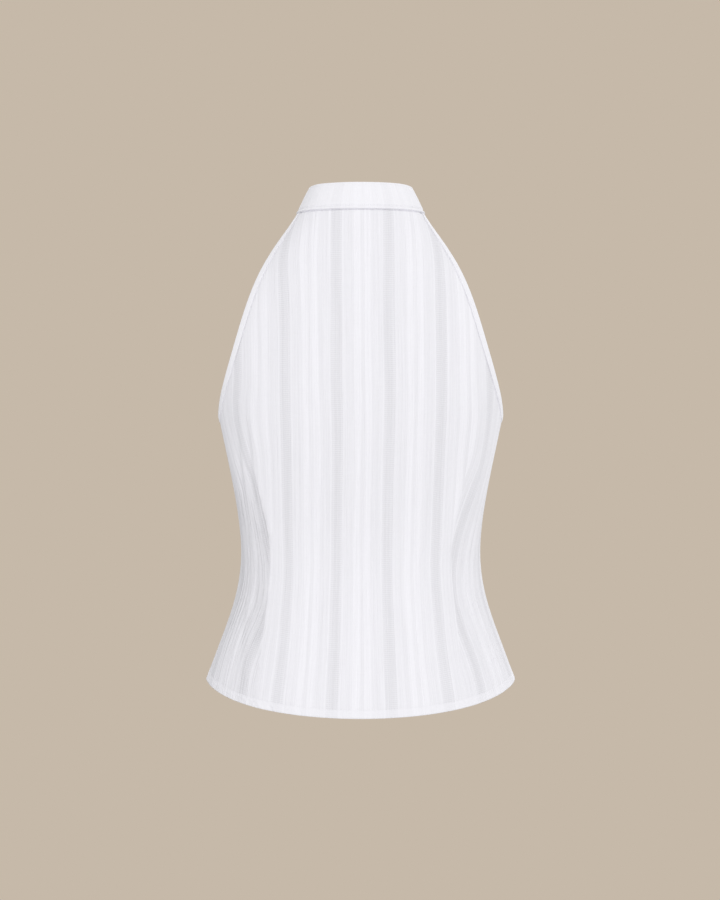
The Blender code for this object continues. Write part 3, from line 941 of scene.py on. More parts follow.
def collar_relief(around, level):
    """The band's soft fullness between its stitch lines, and the small pulls of the stitches."""
    relief = COLLAR_FULLNESS * np.sin(HALF_TURN * np.clip(level / COLLAR_TOP, 0.0, 1.0))
    for line, depth, width in COLLAR_GROOVES:
        relief = relief - depth * bell(level - line, width)
    relief = relief + puckers("collar lower stitches", around, level - LOWER_STITCHES)
    relief = relief + puckers("collar top", around, level - COLLAR_TOP)
    slanting = puckers("collar, slanting", around + COLLAR_SLANT * level)
    return relief + puckers("collar", around) + slanting


def collar_surface(angle, level):
    """Points of the band's outer face, and the normals of the form there."""
    normal = form_directions(angle, level)[2]
    out = collar_out(angle, COLLAR_PROUD) + collar_relief(angle * collar_overlap()[1], level)
    return form_point(angle, level) + normal * out[..., None], normal


def rounded_corner(low, outer, radius, turn):
    """A level and a distance out on an arc that is lowest a quarter turn before the outer face."""
    return low + radius + radius * math.sin(turn), outer - radius + radius * math.cos(turn)


def collar_section():
    """Levels and distances out of the band's closed section, from its foot up its outer face,
    over its rounded top and down inside."""
    outer = COLLAR_PROUD
    inner = COLLAR_PROUD - COLLAR_WALL
    top = COLLAR_TOP - COLLAR_ROUNDING
    foot_turn = np.linspace(-QUARTER, 0.0, 5)
    foot = [rounded_corner(COLLAR_FOOT, outer, COLLAR_FOOT_ROUNDING, turn) for turn in foot_turn]
    rise = [(level, outer) for level in np.linspace(COLLAR_FOOT + 1.0, top, 44)[1:-1]]
    over_turn = np.linspace(0.0, HALF_TURN, 10)
    over = [rounded_corner(top - COLLAR_ROUNDING, outer, COLLAR_ROUNDING, turn) for turn in over_turn]
    fall = [(level, inner) for level in np.linspace(top, COLLAR_FOOT, 14)[1:]]
    return np.array(foot + rise + over + fall)


def make_collar(material):
    """The whole band in one, from its left end under the overlap round to its right end."""
    overlap, half = collar_overlap()
    angles = np.linspace(-HALF_TURN - overlap, HALF_TURN + overlap, COLLAR_STATIONS + 1)
    section = collar_section()
    levels = np.tile(section[:, 0], (len(angles), 1))
    spread = np.repeat(angles[:, None], len(section), axis=1)
    around = spread * half
    outside = np.tile(section[:, 1], (len(angles), 1))
    outward = np.where(outside > 0.0, 1.0, COLLAR_INNER_RELIEF)
    out = collar_out(spread, outside) + outward * collar_relief(around, levels)
    normal = form_directions(spread, levels)[2]
    sections = form_point(spread, levels) + normal * out[..., None]
    cloth = np.stack([around - STRIPE_OFFSET, levels], -1)
    mesh = loft_mesh("collar_band", sections, cloth)
    obj = add_object("collar_band", mesh, material)
    mesh.set_sharp_from_angle(angle=math.radians(SHARP_CLOTH))
    return obj


def armhole_path():
    """Angles and levels along an armhole edge: down the back, round the underarm, up the front."""
    step = np.linspace(0.0, 1.0, BINDING_STATIONS // 2 + 1)
    turn = QUARTER * (step + EDGE_ROW_SLOWING * step * (step - 1.0))
    level = TUCK + (UNDERARM - TUCK) * np.sin(turn)
    back = edge_angle(level, front=False)
    front = edge_angle(level, front=True)
    angles = np.concatenate([back[:-1], [QUARTER], front[-2::-1]])
    levels = np.concatenate([level[:-1], [UNDERARM], level[-2::-1]])
    return angles, levels


def binding_frame():
    """For each station along the armhole: how angle and level change for a millimetre inwards
    over the cloth, and the edge's own outward direction."""
    angles, levels = armhole_path()
    path = form_point(angles, levels)
    tangents = np.gradient(path, axis=0)
    tangents /= np.linalg.norm(tangents, axis=-1, keepdims=True)
    around, up, normals = form_directions(angles, levels)
    inwards = np.cross(tangents, normals)
    if inwards[len(angles) // 2][2] > 0:
        inwards = -inwards
    moves = []
    for i, step in enumerate(inwards):
        basis = np.stack([around[i], up[i]], axis=1)
        moves.append(np.linalg.lstsq(basis, step, rcond=None)[0])
    return angles, levels, np.array(moves), inwards, tangents


def body_surface(angle, level):
    """The outer face at any angle of the wearer's right side: back, then front past the seam."""
    back, back_normal = back_surface(angle, level)
    front, front_normal = front_surface(angle, level, 1)
    past = (angle > QUARTER)[..., None]
    return np.where(past, front, back), np.where(past, front_normal, back_normal)


def binding_points(distance, out):
    """Points at a distance in from the armhole edge and out from the cloth, for each station."""
    angles, levels, moves, inwards, tangents = binding_frame()
    inside = max(distance, 0.0)
    angle = angles + moves[:, 0] * inside
    level = np.clip(levels + moves[:, 1] * inside, HEM, TUCK + 2.0)
    points, normal = body_surface(angle, level)
    return points + normal * out[:, None] + inwards * min(distance, 0.0), normal, tangents


def binding_section():
    """Distance in from the edge and out from the cloth: the outer leg, the fold, the inner leg,
    and back along the faces that hold the cloth."""
    skin = BINDING_SKIN
    clear = BINDING_CLEAR
    lip = 0.35
    outer = [(BINDING_WIDTH, clear), (BINDING_WIDTH + 0.15, 0.5 * (skin + clear))]
    outer += [(BINDING_WIDTH - lip * 0.4, skin - 0.12)]
    outer += [(d, skin) for d in np.linspace(BINDING_WIDTH - lip * 2, 0.0, 9)]
    half = (SHELL + 2 * skin) / 2
    turn = np.linspace(0.0, HALF_TURN, 11)[1:-1]
    fold = [(-0.9 * half * math.sin(t), -SHELL / 2 + half * math.cos(t)) for t in turn]
    inner = [(d, -SHELL - skin) for d in np.linspace(0.0, BINDING_WIDTH - lip * 2, 7)]
    inner += [(BINDING_WIDTH, -SHELL - skin + 0.2), (BINDING_WIDTH, -SHELL - clear)]
    back = [(0.3, -SHELL - clear), (0.3, clear)]
    return outer + fold + inner + back


def make_binding(name, side, material):
    """A bias strip folded over an armhole edge, a little swollen between its stitches."""
    section = binding_section()
    stations = len(armhole_path()[0])
    steps = np.linalg.norm(np.diff(form_point(*armhole_path()), axis=0), axis=-1)
    along = np.append(0.0, np.cumsum(steps))
    rings = []
    cloth = []
    for distance, out in section:
        raised = np.full(stations, float(out))
        if out > 0.5:
            swell = puckers("binding", along)
            swell = swell + puckers("binding right" if side > 0 else "binding left", along)
            inside = min(max(distance, 0.0), 5.0)
            raised = raised + swell * math.sin(HALF_TURN * inside / 6.0 + 0.3)
            groove = bell(distance - BINDING_STITCHES, BINDING_STITCH_GROOVE_WIDTH)
            raised = raised - BINDING_STITCH_GROOVE * groove
        rings.append(binding_points(distance, raised)[0])
        cloth.append(np.stack([along, np.full(stations, distance + 3.0 * (out < 0))], -1))
    sections = np.stack(rings, axis=1) * np.array([side, 1.0, 1.0])
    mesh = loft_mesh(name, sections, np.stack(cloth, axis=1))
    obj = add_object(name, mesh, material)
    mesh.set_sharp_from_angle(angle=math.radians(SHARP_CLOTH))
    return obj


def connect(tree, node, sockets):
    """Sets a node's input sockets to values, or links them to other nodes' outputs."""
    for name, value in sockets.items():
        if isinstance(value, bpy.types.NodeSocket):
            tree.links.new(value, node.inputs[name])
        else:
            node.inputs[name].default_value = value


def add_node(tree, kind, sockets=None, **settings):
    """A node with its settings, and its sockets set to a value or linked to another's output."""
    made = tree.nodes.new(kind)
    for name, value in settings.items():
        setattr(made, name, value)
    connect(tree, made, sockets or {})
    return made


def calculate(tree, operation, a, b=0.0, c=0.0):
    """The output of a maths node."""
    made = add_node(tree, "ShaderNodeMath", {0: a, 1: b, 2: c}, operation=operation)
    return made.outputs[0]


def make_group(name, inputs, outputs):
    """A shader node group with float or vector sockets. Inputs are (name, kind, value)."""
    group = bpy.data.node_groups.new(name, "ShaderNodeTree")
    for label, kind, value in inputs:
        socket = group.interface.new_socket(label, in_out="INPUT", socket_type=kind)
        if value is not None:
            socket.default_value = value
    for label, kind in outputs:
        group.interface.new_socket(label, in_out="OUTPUT", socket_type=kind)
    return group, group.nodes.new("NodeGroupInput").outputs, group.nodes.new("NodeGroupOutput")


def ramp_of(tree, value, stops):
    """A colour ramp in greys. Stops are (position, brightness)."""
    ramp = add_node(tree, "ShaderNodeValToRGB", {"Fac": value})
    elements = ramp.color_ramp.elements
    while len(elements) < len(stops):
        elements.new(0.5)
    for element, (position, brightness) in zip(elements, stops):
        element.position = position
        element.color = (brightness, brightness, brightness, 1.0)
    return ramp.outputs["Color"]


def stripe_stops(column):
    """Ramp stops for the chart of stripes, with a soft edge between neighbours."""
    stops = [(0.0, STRIPES[0][column])]
    for inner, outer in zip(STRIPES, STRIPES[1:]):
        stops.append(((inner[0] - STRIPE_SOFTNESS) / STRIPE_HALF_REPEAT, inner[column]))
        stops.append(((inner[0] + STRIPE_SOFTNESS) / STRIPE_HALF_REPEAT, outer[column]))
    stops.append((1.0, STRIPES[-1][column]))
    return stops


def stretched_noise(tree, cloth, rates, detail):
    """Noise over the cloth's own millimetres, at one rate across it and another along it."""
    stretch = (rates[0], rates[1], 0.0)
    scaled = add_node(tree, "ShaderNodeVectorMath", {0: cloth, 1: stretch}, operation="MULTIPLY")
    sockets = {"Vector": scaled.outputs[0], "Scale": 1.0, "Detail": detail}
    return add_node(tree, "ShaderNodeTexNoise", sockets).outputs["Fac"]


def centred(tree, noise, most):
    """A noise turned into a value between minus half and plus half of the most."""
    return calculate(tree, "MULTIPLY_ADD", noise, most, -most / 2)


def waves(tree, distance, spacing):
    """A sine wave, one to each spacing of a distance."""
    turns = calculate(tree, "MULTIPLY", distance, 2 * HALF_TURN)
    return calculate(tree, "SINE", calculate(tree, "DIVIDE", turns, spacing))


def woven_stripes():
    """The stripes of the cloth: brightness, how open the weave is, and its relief."""
    inputs = (
        ("Cloth", "NodeSocketVector", None),
        ("Contrast", "NodeSocketFloat", 1.0),
        ("Crumple And Shade", "NodeSocketFloat", CRUMPLE_AND_SHADE_MIDDLE),
        ("Rib Spacing", "NodeSocketFloat", RIB_SPACING),
        ("Rung Spacing", "NodeSocketFloat", RUNG_SPACING),
    )
    outputs = (
        ("Brightness", "NodeSocketFloat"),
        ("Openness", "NodeSocketFloat"),
        ("Relief", "NodeSocketFloat"),
    )
    group, given, result = make_group("woven_stripes", inputs, outputs)
    cloth = given["Cloth"]
    crumple_and_shade = given["Crumple And Shade"]
    parts = add_node(group, "ShaderNodeSeparateXYZ", {0: cloth}).outputs
    wander = centred(group, stretched_noise(group, cloth, WANDER_RATES, 2.0), WANDER)
    across = calculate(group, "ADD", parts["X"], wander)
    folded = calculate(group, "PINGPONG", across, STRIPE_HALF_REPEAT)
    place = calculate(group, "DIVIDE", folded, STRIPE_HALF_REPEAT)
    chart = ramp_of(group, place, stripe_stops(1))
    openness = ramp_of(group, place, stripe_stops(2))

    streaks = stretched_noise(group, cloth, STREAK_RATES, 3.0)
    crinkles = stretched_noise(group, cloth, CRINKLE_RATES, 2.0)
    patches = stretched_noise(group, cloth, PATCH_RATES, 3.0)
    wefts = stretched_noise(group, cloth, WEFT_RATES, 2.0)
    rib = calculate(group, "MULTIPLY", waves(group, across, given["Rib Spacing"]), streaks)
    rung = calculate(group, "MULTIPLY", waves(group, parts["Y"], given["Rung Spacing"]), patches)
    rung = calculate(group, "MULTIPLY", rung, openness)

    tone = calculate(group, "MULTIPLY_ADD", rib, RIB_TONE, chart)
    tone = calculate(group, "MULTIPLY_ADD", rung, RUNG_TONE, tone)
    tone = calculate(group, "ADD", tone, centred(group, patches, PATCH_TONE))
    tone = calculate(group, "ADD", tone, centred(group, streaks, STREAK_TONE))
    weft_share = calculate(group, "MULTIPLY_ADD", crumple_and_shade, 1.0 - WEFT_LEAST, WEFT_LEAST)
    weft_tone = centred(group, wefts, WEFT_TONE)
    tone = calculate(group, "MULTIPLY_ADD", weft_tone, weft_share, tone)
    # Painted shade: the more crumpled the cloth, the darker its tone, standing for the shade in its
    # crinkles
    painted_shade_share = calculate(group, "SUBTRACT", crumple_and_shade, CRUMPLE_AND_SHADE_MIDDLE)
    tone = calculate(group, "MULTIPLY_ADD", painted_shade_share, -PAINTED_CRUMPLE_SHADE, tone)
    fade = calculate(group, "SUBTRACT", tone, 1.0)
    brightness = calculate(group, "MULTIPLY_ADD", fade, given["Contrast"], 1.0)

    relief = calculate(group, "MULTIPLY", rib, RIB_RELIEF)
    relief = calculate(group, "MULTIPLY_ADD", rung, RUNG_RELIEF, relief)
    relief = calculate(group, "MULTIPLY_ADD", openness, -LADDER_DEPTH, relief)
    folds = calculate(group, "MULTIPLY", crinkles, CRINKLE_RELIEF)
    folds = calculate(group, "MULTIPLY_ADD", streaks, STREAK_RELIEF, folds)
    relief = calculate(group, "MULTIPLY_ADD", folds, crumple_and_shade, relief)
    connect(group, result, {"Brightness": brightness, "Openness": openness, "Relief": relief})
    return group


def plain_weave():
    """Warp and weft threads crossing, as a relief."""
    inputs = (
        ("Cloth", "NodeSocketVector", None),
        ("Thread Spacing", "NodeSocketFloat", THREAD_SPACING),
    )
    group, given, result = make_group("plain_weave", inputs, (("Relief", "NodeSocketFloat"),))
    parts = add_node(group, "ShaderNodeSeparateXYZ", {0: given["Cloth"]}).outputs
    rate = calculate(group, "DIVIDE", HALF_TURN, given["Thread Spacing"])
    warp = calculate(group, "SINE", calculate(group, "MULTIPLY", parts["X"], rate))
    weft = calculate(group, "SINE", calculate(group, "MULTIPLY", parts["Y"], rate))
    connect(group, result, {"Relief": calculate(group, "MULTIPLY", warp, weft)})
    return group


def new_material(name):
    """A new material, its node tree and its Principled shader."""
    material = bpy.data.materials.new(name)
    material.use_nodes = True
    tree = material.node_tree
    return material, tree, tree.nodes["Principled BSDF"]


def tinted(tree, tone, white):
    """A white made darker by a tone."""
    grey = add_node(tree, "ShaderNodeCombineColor", {0: tone, 1: tone, 2: tone}).outputs[0]
    sockets = {"Factor": 1.0, 6: grey, 7: white}
    mix = add_node(tree, "ShaderNodeMix", sockets, data_type="RGBA", blend_type="MULTIPLY")
    return mix.outputs[2]


def blended(tree, share, low, high):
    """A colour between two others."""
    sockets = {"Factor": share, 6: low, 7: high}
    return add_node(tree, "ShaderNodeMix", sockets, data_type="RGBA").outputs[2]


def bumped(tree, height, strength, distance):
    """A normal from a height, whose unit is a distance in metres."""
    sockets = {"Height": height, "Strength": strength, "Distance": distance}
    return add_node(tree, "ShaderNodeBump", sockets).outputs[0]


def cloth_material(name, white, groups, contrast, placket_half, hem_depth):
    """Striped cotton, whiter and fainter in its stripes where it is doubled, which hides the painted
    shade of the inside that the open stripes show.
    """
    material, tree, shader = new_material(name)
    cloth = add_node(tree, "ShaderNodeUVMap", uv_map="cloth").outputs["UV"]
    parts = add_node(tree, "ShaderNodeSeparateXYZ", {0: cloth}).outputs
    crumple_and_shade = add_node(tree, "ShaderNodeAttribute", attribute_name="crumple_and_shade").outputs["Fac"]
    crumple_and_shade = calculate(tree, "MAXIMUM", crumple_and_shade, CRUMPLE_AND_SHADE_MIDDLE)
    stripes = add_node(tree, "ShaderNodeGroup", node_tree=groups["stripes"])
    connect(tree, stripes, {"Cloth": cloth, "Contrast": contrast, "Crumple And Shade": crumple_and_shade})
    weave = add_node(tree, "ShaderNodeGroup", node_tree=groups["weave"])
    connect(tree, weave, {"Cloth": cloth})

    in_hem = calculate(tree, "LESS_THAN", parts["Y"], hem_depth)
    from_middle = calculate(tree, "ABSOLUTE", parts["X"])
    in_placket = calculate(tree, "LESS_THAN", from_middle, placket_half)
    doubled = calculate(tree, "MAXIMUM", in_hem, in_placket)
    fade = calculate(tree, "SUBTRACT", stripes.outputs["Brightness"], 1.0)
    keep = calculate(tree, "MULTIPLY_ADD", doubled, -DOUBLED_FADE, 1.0)
    faded = calculate(tree, "MULTIPLY_ADD", fade, keep, 1.0)
    threads = weave.outputs["Relief"]
    relief = calculate(tree, "MULTIPLY_ADD", threads, WEAVE_RELIEF, stripes.outputs["Relief"])
    connect(tree, shader, {
        "Base Color": tinted(tree, faded, white),
        "Normal": bumped(tree, relief, 1.0, MM),
        "Roughness": calculate(tree, "MULTIPLY_ADD", stripes.outputs["Openness"], 0.06, 0.84),
        "Sheen Weight": CLOTH_SHEEN,
        "Sheen Roughness": 0.5,
        "Specular IOR Level": CLOTH_SPECULAR,
    })
    return material


def plain_material(name, white, groups, spacing):
    """Plain cotton for the binding."""
    material, tree, shader = new_material(name)
    cloth = add_node(tree, "ShaderNodeUVMap", uv_map="cloth").outputs["UV"]
    weave = add_node(tree, "ShaderNodeGroup", node_tree=groups["weave"])
    connect(tree, weave, {"Cloth": cloth, "Thread Spacing": spacing})
    sockets = {"Vector": cloth, "Scale": 0.35, "Detail": 3.0}
    cloud = add_node(tree, "ShaderNodeTexNoise", sockets).outputs["Fac"]
    tone = calculate(tree, "MULTIPLY_ADD", cloud, 0.06, 0.96)
    relief = calculate(tree, "MULTIPLY_ADD", cloud, 1.5, weave.outputs["Relief"])
    connect(tree, shader, {
        "Base Color": tinted(tree, tone, white),
        "Normal": bumped(tree, relief, 0.5, 0.1 * MM),
        "Roughness": calculate(tree, "MULTIPLY_ADD", cloud, 0.08, 0.76),
        "Sheen Weight": CLOTH_SHEEN,
        "Specular IOR Level": CLOTH_SPECULAR,
    })
    return material


def thread_material():
    """Sewing thread, with painted shade in the grooves of its twist."""
    material, tree, shader = new_material("cotton_thread")
    place = add_node(tree, "ShaderNodeTexCoord").outputs["Object"]
    sockets = {"Vector": place, "Scale": 2500.0, "Detail": 2.0}
    twist_and_groove_shade = add_node(tree, "ShaderNodeTexNoise", sockets).outputs["Fac"]
    # Painted shade: the thread is made darker where its twist's relief is low
    low = tuple(0.92 * channel for channel in THREAD_WHITE[:3]) + (1.0,)
    connect(tree, shader, {
        "Base Color": blended(tree, twist_and_groove_shade, low, THREAD_WHITE),
        "Normal": bumped(tree, twist_and_groove_shade, 0.4, 0.08 * MM),
        "Roughness": 0.6,
        "Sheen Weight": 0.2,
    })
    return material


def shell_material():
    """Mother of pearl: soft clouds of grey and white under a clear gloss."""
    material, tree, shader = new_material("pearl_shell")
    place = add_node(tree, "ShaderNodeTexCoord").outputs["Object"]
    sockets = {"Vector": place, "Scale": 220.0, "Detail": 4.0, "Distortion": 1.5}
    cloud = add_node(tree, "ShaderNodeTexNoise", sockets).outputs["Fac"]
    connect(tree, shader, {
        "Base Color": blended(tree, cloud, SHELL_GREY, SHELL_LIGHT),
        "Roughness": calculate(tree, "MULTIPLY_ADD", cloud, 0.25, 0.16),
        "Coat Weight": 0.5,
        "Coat Roughness": 0.08,
    })
    return material


def stitch_tree():
    """Stitches along a path: small drops of thread, one every pitch, turned by two attributes."""
    tree = bpy.data.node_groups.new("stitches_along_path", "GeometryNodeTree")
    face = tree.interface
    face.new_socket("Geometry", in_out="INPUT", socket_type="NodeSocketGeometry")
    for label in STITCH_SIZES + ("Unevenness",):
        face.new_socket(label, in_out="INPUT", socket_type="NodeSocketFloat")
    face.new_socket("Seed", in_out="INPUT", socket_type="NodeSocketInt")
    face.new_socket("Thread", in_out="INPUT", socket_type="NodeSocketMaterial")
    face.new_socket("Geometry", in_out="OUTPUT", socket_type="NodeSocketGeometry")
    given = tree.nodes.new("NodeGroupInput").outputs
    result = tree.nodes.new("NodeGroupOutput")
    line = add_node(tree, "GeometryNodeMeshToCurve", {"Mesh": given["Geometry"]}).outputs["Curve"]
    spaced = add_node(tree, "GeometryNodeResampleCurve", mode="LENGTH")
    connect(tree, spaced, {"Curve": line, "Length": given["Pitch"]})

    vectors = []
    for label in ("out", "along"):
        kind = "GeometryNodeInputNamedAttribute"
        read = add_node(tree, kind, {"Name": label}, data_type="FLOAT_VECTOR")
        vectors.append(read.outputs["Attribute"])
    turned = add_node(tree, "FunctionNodeAxesToRotation", primary_axis="Z", secondary_axis="X")
    connect(tree, turned, {"Primary Axis": vectors[0], "Secondary Axis": vectors[1]})

    round_drop = {"Segments": 8, "Rings": 5, "Radius": 0.5}
    drop = add_node(tree, "GeometryNodeMeshUVSphere", round_drop).outputs["Mesh"]
    size = add_node(tree, "ShaderNodeCombineXYZ")
    for axis, label in zip("XYZ", STITCH_SIZES[1:]):
        connect(tree, size, {axis: given[label]})
    sockets = {"Geometry": drop, "Scale": size.outputs[0]}
    shaped = add_node(tree, "GeometryNodeTransform", sockets).outputs["Geometry"]
    smooth = add_node(tree, "GeometryNodeSetShadeSmooth", {"Geometry": shaped}).outputs["Geometry"]

    least = calculate(tree, "SUBTRACT", 1.0, given["Unevenness"])
    most = calculate(tree, "ADD", 1.0, given["Unevenness"])
    random = add_node(tree, "FunctionNodeRandomValue", data_type="FLOAT")
    connect(tree, random, {2: least, 3: most, "Seed": given["Seed"]})
    placed = add_node(tree, "GeometryNodeInstanceOnPoints", {
        "Points": spaced.outputs["Curve"],
        "Instance": smooth,
        "Rotation": turned.outputs["Rotation"],
        "Scale": random.outputs[1],
    })
    placed = placed.outputs["Instances"]
    real = add_node(tree, "GeometryNodeRealizeInstances", {"Geometry": placed}).outputs["Geometry"]
    sockets = {"Geometry": real, "Material": given["Thread"]}
    painted = add_node(tree, "GeometryNodeSetMaterial", sockets).outputs["Geometry"]
    connect(tree, result, {"Geometry": painted})
    return tree


def stitched(name, tree, paths, thread, sizes, seed):
    """One mesh of all the stitches along some paths, each (points, out, along) in millimetres.
    The sizes are their pitch, length, width and height."""
    vertices = []
    edges = []
    outs = []
    alongs = []
    for points, out, along in paths:
        start = len(vertices)
        vertices.extend((points * MM).tolist())
        edges.extend((start + i, start + i + 1) for i in range(len(points) - 1))
        outs.append(out)
        alongs.append(along)
    mesh = bpy.data.meshes.new(name + "_path")
    mesh.from_pydata(vertices, edges, [])
    for label, vectors in (("out", outs), ("along", alongs)):
        attribute = mesh.attributes.new(label, "FLOAT_VECTOR", "POINT")
        attribute.data.foreach_set("vector", np.concatenate(vectors).reshape(-1).astype(np.float32))
    path = new_object(name + "_path", mesh)
    modifier = path.modifiers.new("stitches", "NODES")
    modifier.node_group = tree
    values = {"Unevenness": STITCH_UNEVENNESS, "Seed": seed, "Thread": thread}
    for label, size in zip(STITCH_SIZES, sizes):
        values[label] = size * MM
    for item in tree.interface.items_tree:
        if item.in_out == "INPUT" and item.name in values:
            modifier[item.identifier] = values[item.name]
    made = baked_mesh(path)
    made.name = name
    return new_object(name, made)


def directions_along(points):
    """The direction of a path at each of its points."""
    along = np.gradient(points, axis=0)
    return along / np.linalg.norm(along, axis=-1, keepdims=True)


def path_on(surface, angle, level, *side):
    """A stitch path over a surface, a little above it: its points, and the directions out of the
    cloth and along the path."""
    points, normal = surface(angle, level, *side)
    raised = points + normal * STITCH_LIFT
    return raised, normal, directions_along(raised)


def hem_paths():
    """One row of stitches across the back, and one along each front."""
    row = HEM + HEM_DEPTH - HEM_STITCHES_IN
    overlap = float(overlap_angle(read_table(FORM, HEM)[0]))
    back = np.linspace(-QUARTER, QUARTER, 700)
    right = np.linspace(QUARTER, HALF_TURN + overlap * HEM_ROW_RIGHT, 400)
    left = np.linspace(QUARTER, HALF_TURN - overlap * HEM_ROW_LEFT, 360)
    return [
        path_on(back_surface, back, np.full_like(back, row)),
        path_on(front_surface, right, np.full_like(right, row), 1),
        path_on(front_surface, left, np.full_like(left, row), -1),
    ]


def collar_paths():
    """Two rows of stitches on the band's outer face, from its left end round to its right end,
    and a row up its right end."""
    overlap = collar_overlap()[0]
    start = -HALF_TURN + overlap * COLLAR_ROW_LEFT
    end = HALF_TURN + overlap * COLLAR_ROW_RIGHT
    angle = np.linspace(start, end, 900)
    paths = []
    for row in (LOWER_STITCHES, UPPER_STITCHES):
        paths.append(path_on(collar_surface, angle, np.full_like(angle, row)))
    rise = np.linspace(LOWER_STITCHES, UPPER_STITCHES, 40)
    paths.append(path_on(collar_surface, np.full_like(rise, end), rise))
    return paths


def binding_paths(side):
    """A row of stitches on a binding's outer leg, and the same row on its inner leg."""
    mirror = np.array([side, 1.0, 1.0])
    stations = len(armhole_path()[0])
    kept = slice(3, stations - 3)
    paths = []
    for out in (BINDING_SKIN - BINDING_STITCH_SINK, -SHELL - BINDING_SKIN):
        points, normal, _ = binding_points(BINDING_STITCHES, np.full(stations, out))
        points = (points * mirror)[kept]
        paths.append((points, (normal * mirror)[kept], directions_along(points)))
    return paths


def placket_paths():
    """Two rows of stitches down the right front's placket."""
    level = np.linspace(-1.0, HEM + 1.0, 700)
    half = read_table(FORM, level)[0]
    paths = []
    for row in PLACKET_STITCHES:
        paths.append(path_on(front_surface, HALF_TURN - overlap_angle(half, row), level, 1))
    return paths


def button_places():
    """Each button: name, level, and how far the cloth under it stands out of the form."""
    places = [("collar", COLLAR_BUTTON_LEVEL, COLLAR_PROUD)]
    for i in range(FRONT_BUTTONS):
        places.append((f"front_{i + 1}", TOP_BUTTON_LEVEL - i * BUTTON_SPACING, 0.0))
    return places


def button_frame(level, proud):
    """The middle of a button's back and its outward direction, in millimetres."""
    angle = np.array([HALF_TURN])
    place = form_point(angle, np.array([level]))[0]
    normal = form_directions(angle, np.array([level]))[2][0]
    near = form_point(np.full(2, HALF_TURN), level + np.array([-1.0, 1.0]) * BUTTON_ACROSS)
    rest_height = proud + max(0.0, float(np.max((near - place) @ normal)))
    return place + normal * (rest_height + BUTTON_GAP), normal


def button_basis(normal):
    """Across, up and out of a button's plane, as columns."""
    across = np.array([-1.0, 0.0, 0.0])
    up = np.cross(normal, across)
    return np.stack([across, up, normal], axis=1)


def spun_mesh(name, profile, steps):
    """A shape turned round the upright axis from a profile of (radius, height) in metres."""
    turned = bmesh.new()
    vertices = [turned.verts.new((radius, 0.0, height)) for radius, height in profile]
    edges = [turned.edges.new(pair) for pair in zip(vertices, vertices[1:])]
    bmesh.ops.spin(
        turned,
        geom=vertices + edges,
        cent=(0.0, 0.0, 0.0),
        axis=(0.0, 0.0, 1.0),
        angle=2 * HALF_TURN,
        steps=steps,
        use_merge=True,
    )
    bmesh.ops.remove_doubles(turned, verts=turned.verts, dist=1e-6)
    bmesh.ops.recalc_face_normals(turned, faces=turned.faces)
    return finished_mesh(name, turned)


def turned_button_mesh(name):
    """A shell button: a rounded rim round a shallow dish, lying in its own plane."""
    radius = BUTTON_ACROSS / 2
    profile = [((radius - inwards) * MM, height * MM) for inwards, height in BUTTON_PROFILE]
    return spun_mesh(name, profile, 48)


def drill_holes(mesh):
    """Four thread holes cut through a button that lies in its own plane."""
    drill = bmesh.new()
    for x in (-HOLE_APART, HOLE_APART):
        for y in (-HOLE_APART, HOLE_APART):
            made = bmesh.ops.create_cone(
                drill,
                cap_ends=True,
                segments=16,
                radius1=HOLE_RADIUS * MM,
                radius2=HOLE_RADIUS * MM,
                depth=4 * BUTTON_THICK * MM,
            )
            bmesh.ops.translate(drill, verts=made["verts"], vec=(x * MM, y * MM, 0.0))
    cutter = new_object("button_drill", finished_mesh("button_drill", drill))
    blank = new_object("button_blank", mesh)
    cut = blank.modifiers.new("holes", "BOOLEAN")
    cut.operation = "DIFFERENCE"
    cut.object = cutter
    drilled = baked_mesh(blank)
    bpy.data.objects.remove(cutter, do_unlink=True)
    return drilled


def place_mesh(mesh, origin, basis, name):
    """A copy of a mesh in a button's own plane, moved to its place in the frame."""
    placed = mesh.copy()
    placed.name = name
    count = len(placed.vertices)
    points = np.zeros(count * 3, np.float32)
    placed.vertices.foreach_get("co", points)
    points = points.reshape(-1, 3) @ basis.T + origin * MM
    placed.vertices.foreach_set("co", points.astype(np.float32).reshape(-1))
    placed.update()
    return placed


def button_thread_mesh():
    """Two bars of three strands over each button's dish, and the shank under it."""
    strand_half = np.array([HOLE_APART + 0.35, 0.22, 0.34]) * MM
    strand_apart = 0.32
    strand_height = 1.78
    middle_higher = 0.1
    bars = bmesh.new()
    for y in (-HOLE_APART, HOLE_APART):
        for k in (-1, 0, 1):
            made = bmesh.ops.create_uvsphere(bars, u_segments=10, v_segments=6, radius=1.0)
            bmesh.ops.scale(bars, verts=made["verts"], vec=strand_half)
            height = strand_height + (middle_higher if k == 0 else 0.0)
            place = np.array([0.0, y + k * strand_apart, height]) * MM
            bmesh.ops.translate(bars, verts=made["verts"], vec=place)
    shank = bmesh.ops.create_cone(
        bars, cap_ends=True, segments=12, radius1=1.5 * MM, radius2=1.3 * MM, depth=1.6 * MM
    )
    bmesh.ops.translate(bars, verts=shank["verts"], vec=(0.0, 0.0, -0.2 * MM))
    return finished_mesh("button_thread", bars)


def make_buttons(shell, thread):
    """Each button and its thread, from one disc and one set of strands."""
    made = []
    disc = drill_holes(turned_button_mesh("button_disc"))
    bars = button_thread_mesh()
    for label, level, proud in button_places():
        origin, normal = button_frame(level, proud)
        basis = button_basis(normal)
        button = add_object("shell_button_" + label, place_mesh(disc, origin, basis, label), shell)
        button.data.set_sharp_from_angle(angle=math.radians(SHARP_SHELL))
        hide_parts("button_" + label)
        threads = add_object("button_thread_" + label, place_mesh(bars, origin, basis, label), thread)
        made += [button, threads]
    return made


